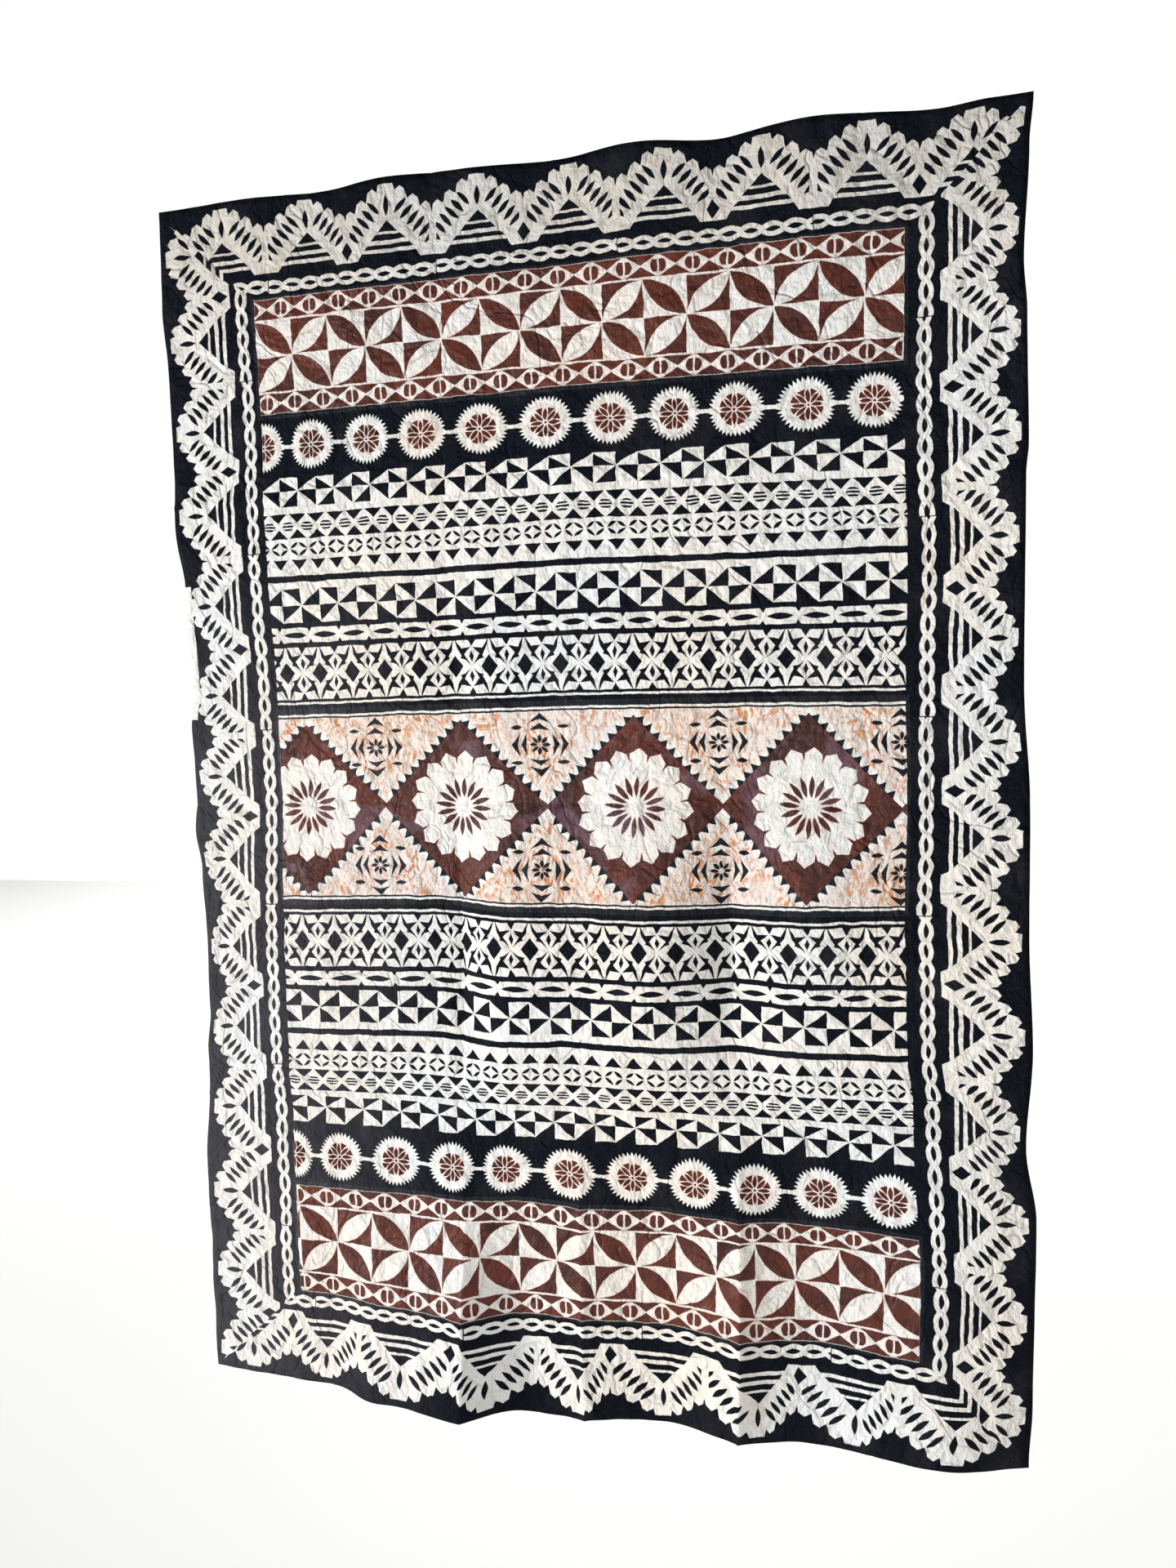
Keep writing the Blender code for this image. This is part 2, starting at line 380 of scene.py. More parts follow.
@dataclass(frozen=True)
class HungSheet:
    """The shape of the cloth as it hangs, from its flat size to every point in space."""

    width: float = 1.25
    length: float = 1.82
    thickness: float = 0.0012
    edge_reach: float = 0.12
    crease_slope: float = 1.35
    crease_fade: float = 0.06
    crease_sharpness: float = 1.6
    crumple_mm: float = 2.0
    crumple_size: float = 0.075
    crumple_slice: float = 3.7
    fine_crumple: float = 2.6
    fine_share: float = 0.45
    skirt_top: float = 1.365
    skirt_top_share: float = 0.35
    skirt_crumple: float = 0.9

    def eased(self, fraction: float, start_is_crease: bool, end_is_crease: bool) -> float:
        """Eases from 0 to 1, level at a round end and steep at a creased one.

        Args:
            fraction: How far along, from 0 to 1.
            start_is_crease: Whether the start is a crease.
            end_is_crease: Whether the end is a crease.

        Returns:
            The eased fraction.
        """
        start_slope = self.crease_slope if start_is_crease else 0.0
        end_slope = self.crease_slope if end_is_crease else 0.0
        squared, cubed = fraction**2, fraction**3
        rise = 3 * squared - 2 * cubed
        start = start_slope * (cubed - 2 * squared + fraction)
        return rise + start + end_slope * (cubed - squared)

    def stand_off(self, across: float, down: float) -> float:
        """Finds how far the folds bring a point towards the viewer.

        Args:
            across: The point's place across the flat cloth.
            down: The point's place down the flat cloth.

        Returns:
            The stand-off in metres.
        """
        fold, part_across = place_between([line.across for line in FOLDS], across)
        level, part_down = place_between([line.down for line in LEVELS], down)
        before, after = FOLDS[fold], FOLDS[fold + 1]
        above, below = LEVELS[level], LEVELS[level + 1]
        sideways = self.eased(part_across, before.crease, after.crease)
        downwards = self.eased(part_down, above.crease, below.crease)
        heights = []
        for row in (level, level + 1):
            near, far = before.stand_off_mm[row], after.stand_off_mm[row]
            heights.append(near + (far - near) * sideways)
        return MM * (heights[0] + (heights[1] - heights[0]) * downwards)

    def outwards(self, edge: tuple[EdgePoint, ...], along: float) -> float:
        """How far a cut edge lies outwards at this place along it."""
        places = [point.along for point in edge]
        return MM * smooth_between(places, tuple(p.outwards_mm for p in edge), along)

    def fade(self, distance: float) -> float:
        """The share of an edge's unevenness that is left this far inside the edge."""
        return max(0.0, 1.0 - distance / self.edge_reach) ** 2

    def pressed(self, across: float, down: float) -> float:
        """Adds up the pressed creases at a point, each a narrow soft ridge or trough.

        Args:
            across: The point's place across the flat cloth.
            down: The point's place down the flat cloth.

        Returns:
            The rise towards the viewer in metres.
        """
        rise = 0.0
        for crease in CREASES:
            aside, along = (across, down) if crease.upright else (down, across)
            from_end = min(along - crease.start, crease.end - along) / self.crease_fade
            if from_end > 0.0:
                off = abs(aside - crease.at) / (crease.half_width_mm * MM)
                height = crease.rise_mm * MM * math.exp(-off * self.crease_sharpness)
                rise += height * min(1.0, from_end)
        return rise

    def crumple(self, across: float, down: float) -> float:
        """Works out the small crumples that handling has left in the cloth.

        Args:
            across: The point's place across the flat cloth.
            down: The point's place down the flat cloth.

        Returns:
            The rise towards the viewer in metres.
        """
        size = self.crumple_size
        spot = Vector((across / size, down / size, self.crumple_slice))
        broad = noise.noise(spot)
        fine = noise.noise(spot * self.fine_crumple)
        heights = [0.0, self.skirt_top, self.length]
        lower = smooth_between(heights, (0.0, self.skirt_top_share, 1.0), down)
        skirt = 1.0 + self.skirt_crumple * lower
        return MM * self.crumple_mm * skirt * (broad + self.fine_share * fine)

    def hung(self, column: float, row: float) -> Vector:
        """Hangs a point of the drawing.

        Args:
            column: The point's column on the drawing, in millimetres.
            row: The point's row on the drawing, in millimetres.

        Returns:
            The point in space.
        """
        across = column * self.width / DRAWING_WIDTH
        down = row * self.length / DRAWING_LENGTH
        from_left = self.outwards(LEFT_EDGE, down) * self.fade(across)
        from_right = self.outwards(RIGHT_EDGE, down) * self.fade(self.width - across)
        from_top = self.outwards(TOP_EDGE, across) * self.fade(down)
        from_hem = self.outwards(HEM_EDGE, across) * self.fade(self.length - down)
        side_slip, down_slip = print_drift(column, row)
        rise = self.stand_off(across, down) + self.pressed(across, down)
        return Vector(
            (
                across + MM * side_slip - self.width / 2 - from_left + from_right,
                -rise - self.crumple(across, down),
                from_top - down - MM * down_slip - from_hem,
            )
        )


def print_drift(column: float, row: float) -> tuple[float, float]:
    """Finds how far the print has slipped from its straight drawing.

    Args:
        column: A column of the drawing, in millimetres.
        row: A row of the drawing, in millimetres.

    Returns:
        The slip to the right and the slip downwards, in millimetres.
    """
    rows = [drift.row for drift in DRIFTS]
    step, part = place_between(rows, row)
    slips = []
    for drift in (DRIFTS[step], DRIFTS[step + 1]):
        sideways = smooth_between(list(SIDEWAYS_COLUMNS), (0, *drift.sideways, 0), column)
        downwards = smooth_between(list(DOWNWARDS_COLUMNS), (0, *drift.downwards, 0), column)
        slips.append((sideways, downwards))
    part = part * part * (3 - 2 * part)
    return tuple(a + (b - a) * part for a, b in zip(*slips))


@dataclass(frozen=True)
class Reading:
    """A number that the shader's nodes work out at each point of the cloth."""

    tree: bpy.types.NodeTree
    socket: bpy.types.NodeSocket

    def worked(self, operation: str, *others: "Reading | float") -> "Reading":
        """Puts this reading and others through one maths node.

        Args:
            operation: What the node does.
            others: Further readings or plain numbers, in the node's order.

        Returns:
            The reading that comes out.
        """
        node = self.tree.nodes.new("ShaderNodeMath")
        node.operation = operation
        for inlet, value in zip(node.inputs, (self, *others)):
            if isinstance(value, Reading):
                self.tree.links.new(value.socket, inlet)
            else:
                inlet.default_value = value
        return Reading(self.tree, node.outputs[0])

    def __add__(self, other: "Reading | float") -> "Reading":
        """The sum of two readings."""
        return self.worked("ADD", other)

    def __sub__(self, other: "Reading | float") -> "Reading":
        """This reading less another."""
        return self.worked("SUBTRACT", other)

    def __rsub__(self, other: float) -> "Reading":
        """A plain number less this reading."""
        return self.worked("MULTIPLY_ADD", -1.0, other)

    def __mul__(self, other: "Reading | float") -> "Reading":
        """The product of two readings."""
        return self.worked("MULTIPLY", other)

    def __neg__(self) -> "Reading":
        """This reading with its sign turned."""
        return self.worked("MULTIPLY", -1.0)

    def __abs__(self) -> "Reading":
        """This reading without its sign."""
        return self.worked("ABSOLUTE")

    def line(self, slope: float, start: float) -> "Reading":
        """A straight-line function of this reading."""
        return self.worked("MULTIPLY_ADD", slope, start)

    def from_mark(self, repeat: float, mark: float = 0.0) -> "Reading":
        """The distance to the nearest mark, where marks repeat evenly."""
        return self.line(1.0, -mark).worked("PINGPONG", repeat / 2)

    def past_mark(self, repeat: float, mark: float = 0.0) -> "Reading":
        """The same distance with a sign: below 0 before the mark, above 0 past it."""
        return self.line(1.0, repeat / 2 - mark).worked("FLOORED_MODULO", repeat) - repeat / 2

    def sign(self) -> "Reading":
        """1 where this reading is above 0 and -1 where it is below."""
        return self.worked("SIGN")

    def clamped(self) -> "Reading":
        """This reading kept between 0 and 1."""
        return self.worked("MAXIMUM", 0.0).worked("MINIMUM", 1.0)

    def covered(self, softness: float = 0.35) -> "Reading":
        """How much ink covers a point, from 0 outside a shape to 1 inside it."""
        return self.line(0.5 / softness, 0.5).clamped()


def both(first: Reading, *others: "Reading | float") -> Reading:
    """The shape that is inside every one of the given shapes.

    Args:
        first: A shape, as a reading above 0 inside it.
        others: Further shapes.

    Returns:
        The shape that they share.
    """
    for other in others:
        first = first.worked("MINIMUM", other)
    return first


def either(first: Reading, *others: "Reading | float") -> Reading:
    """The shape that is inside any one of the given shapes.

    Args:
        first: A shape, as a reading above 0 inside it.
        others: Further shapes.

    Returns:
        The joined shape.
    """
    for other in others:
        first = first.worked("MAXIMUM", other)
    return first


def leaf(along: Reading, aside: Reading, half_length: float, half_width: float) -> Reading:
    """A pointed oval, the cut that one pair of knife strokes makes.

    Args:
        along: Distance from the leaf's middle along its length.
        aside: Distance from its middle line, without a sign.
        half_length: Half the leaf's length.
        half_width: Half its width.

    Returns:
        The shape, above 0 inside.
    """
    squared = along * along
    return squared.line(-half_width / half_length**2, half_width) - aside


def lozenge(aside: Reading, above: Reading, half_width: float, half_height: float) -> Reading:
    """A four-sided diamond.

    Args:
        aside: Distance from the upright middle line, without a sign.
        above: Distance from the level middle line, without a sign.
        half_width: Half the lozenge's width.
        half_height: Half its height.

    Returns:
        The shape, above 0 inside, in millimetres from its sides.
    """
    scale = half_width * half_height / math.hypot(half_width, half_height)
    return aside.line(-scale / half_width, scale) - above * (scale / half_height)


class Place(NamedTuple):
    """A point of the print: its column and row on the drawing, and on the band's stencil."""

    column: Reading
    row: Reading
    x: Reading
    y: Reading


class Inked(NamedTuple):
    """Where a band takes black and brown ink and orange smudges, each above 0 inside."""

    black: Reading
    brown: Reading | None = None
    smudged: Reading | None = None


class Rule(NamedTuple):
    """A thin straight line of a stencil: where its middle lies, and half its width."""

    middle: float
    half_width: float


class Chevron(NamedTuple):
    """A ring of bent bars: where it ends and starts, and how much each of its sides bends."""

    outside: float
    outside_bend: float
    inside: float
    inside_bend: float


class Stencil(Protocol):
    """What every stencil has: the width of its repeat, and a rule for where its ink goes."""

    @property
    def repeat(self) -> float:
        """The width of one repeat, in millimetres."""

    def inked(self, place: Place) -> Inked:
        """Says where a point of the print takes ink."""


def ruled(rules: tuple[Rule, ...], place: Reading) -> Reading:
    """Draws thin parallel lines.

    Args:
        rules: The lines.
        place: Distance along the direction that crosses them.

    Returns:
        The shape of all the lines.
    """
    return either(*(rule.half_width - abs(place - rule.middle) for rule in rules))


def within_panel(place: Place) -> Reading:
    """The inside of the upright margins of the middle panel."""
    return both(place.column - PANEL_LEFT, PANEL_RIGHT - place.column)


@dataclass(frozen=True)
class BorderStencil:
    """The scalloped frame and the chain inside it, which go round the whole cloth."""

    repeat: float = 133.4
    tip: float = 9.0
    first_step: float = 13.5
    step: float = 18.0
    step_rise: float = 1.35
    step_fall: float = 3.3
    step_depth: float = 10.5
    outline_slope: float = 0.65
    outline_start: float = 18.0
    arch: float = 56.0
    shoulder: float = 39.0
    shoulder_bend: float = 0.55
    foot: float = 109.5
    slit_middle: float = 26.8
    slit_spacing: float = 12.4
    first_slit: float = 2.2
    slit_half_length: float = 13.6
    slit_half_width: float = 3.7
    slit_lead: float = 4.0
    slit_reach: float = 58.0
    slit_side: float = 61.5
    tall_slit_middle: float = 36.8
    tall_slit_half_width: float = 4.1
    gem_middle: float = 93.0
    gem_half_width: float = 9.3
    gem_half_height: float = 13.6
    hatching: tuple[Rule, ...] = (Rule(73.0, 1.7), Rule(85.6, 2.9), Rule(97.5, 2.7))
    chain_middle: float = 128.5
    chain_repeat: float = 29.3
    chain_mark: float = 8.0
    chain_length: float = 265.0
    chain_join: float = 174.0
    upright_join: float = 102.0
    join_half_width: float = 0.7
    chain_half_width: float = 9.9
    chain_waist: float = 4.4
    hole_half_length: float = 10.6
    hole_half_width: float = 3.4
    slip_slope: float = -0.037
    slip_start: float = 33.0
    least_slip: float = -9.0
    most_slip: float = 11.0
    spike_slope: float = 0.93
    spike_start: float = 5.9
    spike_turn: float = 0.73
    spike_flare: float = 0.07
    spike_point: float = -1.4
    spike_end: float = 55.0
    raw_edge: float = 12.0
    raw_start: float = 572.0
    raw_end: float = 782.0

    def scallops(self, along: Reading, deep: Reading) -> Reading:
        """Cuts the scallops with their stepped outline, slits, hatching and lozenges.

        Args:
            along: Place along the frame, with the tips on even repeats.
            deep: Distance from the cloth's edge.

        Returns:
            The bare bark of the scallops.
        """
        aside = along.from_mark(self.repeat)
        past_first = aside - self.first_step
        in_step = past_first.worked("FLOORED_MODULO", self.step)
        falling = in_step * self.step_rise
        blunt = both(
            falling, in_step.line(-self.step_fall, self.step_fall * self.step), self.step_depth
        )
        sloped = past_first.line(self.outline_slope, self.outline_start)
        outline = either(sloped - blunt, self.tip)
        outside = (deep - outline) * 0.85
        past_shoulder = aside.line(self.shoulder_bend, -self.shoulder_bend * self.shoulder)
        limb_height = either(past_shoulder, 0.0) + aside - deep
        limb = both(outside, limb_height.line(0.7, 0.7 * self.arch), self.foot - deep)
        along_limb = (aside + deep).line(DIAGONAL, -DIAGONAL * self.arch)
        above_limb = (aside - deep).line(DIAGONAL, DIAGONAL * self.arch)
        beside_slit = along_limb.from_mark(self.slit_spacing, self.first_slit)
        slit = leaf(
            above_limb - self.slit_middle, beside_slit, self.slit_half_length, self.slit_half_width
        )
        past_foot = along.from_mark(2 * self.repeat, 1.5 * self.repeat)
        plain_foot = past_foot.line(1.0, -self.repeat / 2).worked("GREATER_THAN", 0.0)
        reach = plain_foot.line(self.slit_spacing, self.slit_reach)
        slit = both(
            slit, along_limb + self.slit_lead, reach - along_limb, self.slit_side - aside
        )
        tall_slit = leaf(
            deep - self.tall_slit_middle, aside, self.slit_half_length, self.tall_slit_half_width
        )
        from_gem = abs(deep - self.gem_middle)
        gem = lozenge(past_foot, from_gem, self.gem_half_width, self.gem_half_height)
        limb = both(limb, -either(slit, tall_slit, gem))
        return either(limb, both(ruled(self.hatching, deep), 1.0 - above_limb))

    def chain(self, along: Reading, deep: Reading, upright: Reading) -> Reading:
        """Cuts the chain of two crossing strands, which is printed length by length.

        Args:
            along: Place along the frame.
            deep: Distance from the cloth's edge.
            upright: 1 on the upright sides of the frame and 0 on the level ones.

        Returns:
            The bare bark of the strands.
        """
        aside = along.from_mark(self.chain_repeat, self.chain_mark)
        beside_join = along - upright * self.upright_join
        from_join = beside_join.past_mark(2 * self.chain_length, self.chain_join)
        off = abs(deep - from_join.sign() - self.chain_middle)
        half = self.chain_repeat / 2
        swell = (aside * aside).line(-self.chain_waist / half**2, self.chain_half_width)
        from_length = abs(abs(from_join) - self.chain_length / 2)
        join = from_length - self.chain_length / 2 + self.join_half_width
        strands = swell - off
        return both(strands, -leaf(aside, off, self.hole_half_length, self.hole_half_width), -join)

    def spike(self, place: Place) -> Reading:
        """Cuts the thin bare line that points to the upper left corner.

        Args:
            place: The point.

        Returns:
            The bare bark of the line.
        """
        from_line = abs(place.column * self.spike_slope - place.row + self.spike_start)
        flared = place.column.line(self.spike_flare, self.spike_point)
        return both(flared - from_line * self.spike_turn, self.spike_end - place.column)

    def inked(self, place: Place) -> Inked:
        """Puts black ink on all but the scallops, the chain, the spike and one raw strip.

        Args:
            place: The point.

        Returns:
            The ink of the border.
        """
        from_side = both(place.column, DRAWING_WIDTH - place.column)
        from_end = both(place.row, DRAWING_LENGTH - place.row)
        upright = (from_end - from_side).worked("GREATER_THAN", 0.0)
        deep = both(from_side, from_end)
        along = place.x + upright * (place.y - place.x)
        slip = both(place.row.line(self.slip_slope, self.slip_start), self.most_slip)
        slip = either(slip, self.least_slip)
        chain_along = place.column + upright * (place.row + slip - place.column)
        bare = either(
            self.scallops(along, deep), self.chain(chain_along, deep, upright), self.spike(place)
        )
        raw = both(self.raw_edge - place.column, place.row - self.raw_start)
        return Inked(black=-either(bare, both(raw, self.raw_end - place.row)))


@dataclass(frozen=True)
class PetalStencil:
    """Brown leaves crosswise in their cells, between two rows of eyes."""

    repeat: float = 119.0
    middle: float = 232.3
    half_height: float = 85.6
    cell_height: float = 52.0
    petal_half_width: float = 14.6
    upright_gap: float = 0.8
    level_gap: float = 0.9
    cell_gap: float = 0.5
    eye_row: float = 70.0
    eye_row_half_height: float = 15.0
    eye_repeat: float = 47.6
    eye_mark: float = -14.8
    lower_stretch: float = 1.0237
    lower_start: float = -14.4
    eye_half_width: float = 25.2
    eye_half_height: float = 16.2
    eye_flat: float = 14.3
    disc_radius: float = 10.9
    disc_split: float = 1.3
    disc_flat: float = 8.9

    def eyes(self, place: Place, off: Reading) -> Reading:
        """Inks the eye rows: triangles round lozenges, and a split disc in each.

        Args:
            place: The point.
            off: Distance from the band's middle row, without a sign.

        Returns:
            The brown ink of both rows.
        """
        lower = (place.y - self.middle).worked("GREATER_THAN", 0.0)
        slipped = place.x.line(self.lower_stretch, self.lower_start)
        along = place.x + lower * (slipped - place.x)
        aside = along.from_mark(self.eye_repeat, self.eye_mark)
        above = abs(off - self.eye_row)
        eye = lozenge(aside, above, self.eye_half_width, self.eye_half_height)
        frame_of_eye = both(eye, self.eye_flat - above)
        radius = (aside * aside + above * above).worked("SQRT")
        disc = both(self.disc_radius - radius, aside - self.disc_split, self.disc_flat - above)
        return both(either(-frame_of_eye, disc), self.eye_row_half_height - above)

    def inked(self, place: Place) -> Inked:
        """Inks the leaves, one diagonal of cells brown on bark and the other bark on brown.

        Args:
            place: The point.

        Returns:
            The ink of the band.
        """
        off = abs(place.y - self.middle)
        aside = place.x.from_mark(self.repeat)
        turn = (place.x.past_mark(self.repeat) * (place.y - self.middle)).sign()
        half = self.repeat / 2
        diagonal = math.hypot(half, self.cell_height)
        run, rise = half / diagonal, self.cell_height / diagonal
        along = aside * run + off.line(rise, -diagonal / 2)
        from_diagonal = abs(aside * rise - off * run)
        petal = leaf(along, from_diagonal, diagonal / 2, self.petal_half_width) * turn
        gaps = both(
            aside - self.upright_gap,
            off - self.level_gap,
            aside.line(-1.0, half - self.cell_gap),
            self.cell_height - off,
        )
        brown = either(both(petal, gaps), self.eyes(place, off))
        panel = within_panel(place)
        band = self.half_height - off
        return Inked(black=-both(panel, band), brown=both(brown, panel, band))


@dataclass(frozen=True)
class RosetteStencil:
    """A row of toothed discs joined by short bars, each with a brown wheel in it."""

    repeat: float = 90.0
    middle: float = 368.0
    radius: float = 31.8
    tooth: float = 6.6
    teeth: int = 38
    bar: float = 2.7
    spokes: int = 8
    hub: float = 1.9
    seed_middle: float = 12.2
    seed_half_length: float = 9.0
    seed_half_width: float = 3.0
    wedge_start: float = 10.5
    wedge_end: float = 21.8
    wedge_flare: float = 0.45

    def inked(self, place: Place) -> Inked:
        """Inks the ground black and the wheels brown.

        Args:
            place: The point.

        Returns:
            The ink of the row.
        """
        aside = place.x.past_mark(self.repeat)
        above = place.y - self.middle
        radius = (aside * aside + above * above).worked("SQRT")
        angle = above.worked("ARCTAN2", aside)
        tooth = angle.from_mark(math.tau / self.teeth) * (self.teeth / math.pi)
        disc = tooth.line(self.tooth, self.radius) - radius
        panel = within_panel(place)
        bare = both(either(disc, self.bar - abs(above)), panel)
        turn = math.tau / self.spokes
        beside_seed = angle.from_mark(turn)
        along_seed = radius - self.seed_middle
        seed = leaf(
            along_seed, radius * beside_seed, self.seed_half_length, self.seed_half_width
        )
        between = angle.from_mark(turn, turn / 2)
        in_wedge = self.wedge_end - radius
        wedge = both(in_wedge, (radius - self.wedge_start) * self.wedge_flare - radius * between)
        brown = either(seed, wedge, self.hub - radius)
        return Inked(black=-bare, brown=both(brown, panel))


@dataclass(frozen=True)
class PinwheelStencil:
    """Two rows of half squares that turn like pinwheels."""

    repeat: float = 59.5
    middle: float = 437.5
    upper: float = 19.5
    lower: float = 24.3
    turned: bool = False
    triangle_depth: float = 16.0
    row_depth: float = 20.0
    ink_gap: float = 0.5

    def inked(self, place: Place) -> Inked:
        """Inks the pinwheels black, or the turned stencil's bark where this one is black.

        Args:
            place: The point.

        Returns:
            The ink of the band.
        """
        off = place.y - self.middle
        height = both(off * (1 / self.lower), off * (1 / self.upper))
        aside = place.x.past_mark(self.repeat, self.repeat / 2)
        turn = (aside * height).sign()
        slope = abs(height) + abs(aside) * (2 / self.repeat)
        bare = (1.0 - slope) * turn * self.triangle_depth
        bare = both(bare, height.line(self.row_depth, self.row_depth))
        bare = either(bare, height.line(self.row_depth, -self.row_depth))
        black = (bare if self.turned else -bare) - self.ink_gap
        return Inked(black=either(black, -within_panel(place)))


@dataclass(frozen=True)
class EyeRowStencil:
    """Barred eyes between triangles, a row of leaf rings, a row of triangles and a line."""

    repeat: float = 31.0
    eye_row: float = 491.0
    eye_row_half_height: float = 18.9
    triangle_gap: float = 4.6
    bar_half_width: float = 1.5
    bar_spacing: float = 5.0
    eye_half_width: float = 9.6
    eye_half_height: float = 7.2
    eye_depth: float = 5.5
    ring_row: float = 525.3
    ring_reach: float = 8.5
    leaf_half_length: float = 8.0
    leaf_half_width: float = 2.45
    leaf_run: float = 0.6
    leaf_rise: float = 0.8
    triangle_row: float = 541.7
    triangle_height: float = 9.4
    line: Rule = Rule(571.2, 4.8)

    def inked(self, place: Place) -> Inked:
        """Inks the four rows black.

        Args:
            place: The point.

        Returns:
            The ink of the band.
        """
        aside = place.x.from_mark(self.repeat)
        off = abs(place.y - self.eye_row)
        in_row = self.eye_row_half_height - off
        black = both(in_row, (off - aside).line(0.72, -0.72 * self.triangle_gap))
        bars = self.bar_half_width - off.worked("PINGPONG", self.bar_spacing / 2)
        eye = aside.line(-1.0, self.repeat / 2)
        narrow = (eye * eye).line(-self.eye_depth / self.eye_half_width**2, self.eye_depth)
        round_eye = narrow - (off * off) * (self.eye_depth / self.eye_half_height**2)
        black = either(black, both(bars, round_eye))
        off = abs(place.y - self.ring_row)
        across = abs((aside * self.leaf_run + off * self.leaf_rise) - self.ring_reach)
        along = (off * self.leaf_run - aside * self.leaf_rise) + self.leaf_half_width
        ring = leaf(along, across, self.leaf_half_length, self.leaf_half_width)
        black = either(black, ring)
        below = place.y - self.triangle_row
        triangle = self.triangle_height - below * 0.6 - aside * 0.73
        black = either(black, both(below, triangle))
        black = either(black, ruled((self.line,), place.y))
        return Inked(black=either(black, -within_panel(place)))


@dataclass(frozen=True)
class LinkStencil:
    """A chain of long links with pointed holes and notched joints."""

    repeat: float = 48.0
    middle: float = 657.3
    half_height: float = 11.4
    notch_slant: float = 0.615
    notch_depth: float = 3.3
    hole_half_length: float = 18.4
    hole_half_width: float = 4.5

    def inked(self, place: Place) -> Inked:
        """Inks all but the links black.

        Args:
            place: The point.

        Returns:
            The ink of the band.
        """
        aside = place.x.from_mark(self.repeat)
        off = abs(place.y - self.middle)
        notch_start = self.repeat / 2 + self.notch_depth
        notch = (off * self.notch_slant + aside).line(0.85, -0.85 * notch_start)
        in_band = self.half_height - off
        no_notch = -notch
        hole = leaf(aside, off, self.hole_half_length, self.hole_half_width)
        return Inked(black=-both(in_band, no_notch, -hole, within_panel(place)))


@dataclass(frozen=True)
class StarStencil:
    """Lozenges and curved stars in a lattice, with ruled lines beside it."""

    repeat: float = 54.0
    middle: float = 716.4
    half_height: float = 40.0
    bar: Rule = Rule(763.3, 1.7)

    def inked(self, place: Place) -> Inked:
        """Inks all but the lattice of curved strips, the rings and the four-sided blocks.

        Every side is a straight line, given by its slant and by where it crosses the row.

        Args:
            place: The point.

        Returns:
            The ink of the band.
        """
        aside = place.x.from_mark(self.repeat)
        off = either(self.middle - place.y, (place.y - self.middle) * 0.98)
        ring = both(
            (off + aside * 1.084).line(-0.68, 0.68 * 30.8), (off - aside * 1.546).line(0.543, 0.3)
        )
        block = both(
            (off + aside * 0.152).line(1.0, -29.3),
            (aside - off * 0.58).line(0.86, 0.86 * 17.4),
            (off * 0.583 - aside).line(0.86, 0.86 * 1.2),
        )
        strip = both((aside * 0.85 - off).line(0.76, 0.5), (aside * 0.304 - off).line(0.95, 6.3))
        spire = both(
            either(
                (aside - off * 0.62).line(0.85, -0.85 * 6.8),
                (aside - off * 0.23).line(0.97, -0.97 * 16.5),
            ),
            (aside + off * 0.486).line(0.9, -0.9 * 24.3),
        )
        gems = either(
            lozenge(aside, abs(off - 14.8), 3.7, 9.0),
            lozenge(aside.line(-1.0, self.repeat / 2), off, 12.6, 16.7),
        )
        bare = both(either(ring, block, strip, spire), -gems, self.half_height - off)
        bar = ruled((self.bar,), place.y)
        return Inked(black=either(-either(bare, bar), -within_panel(place)))


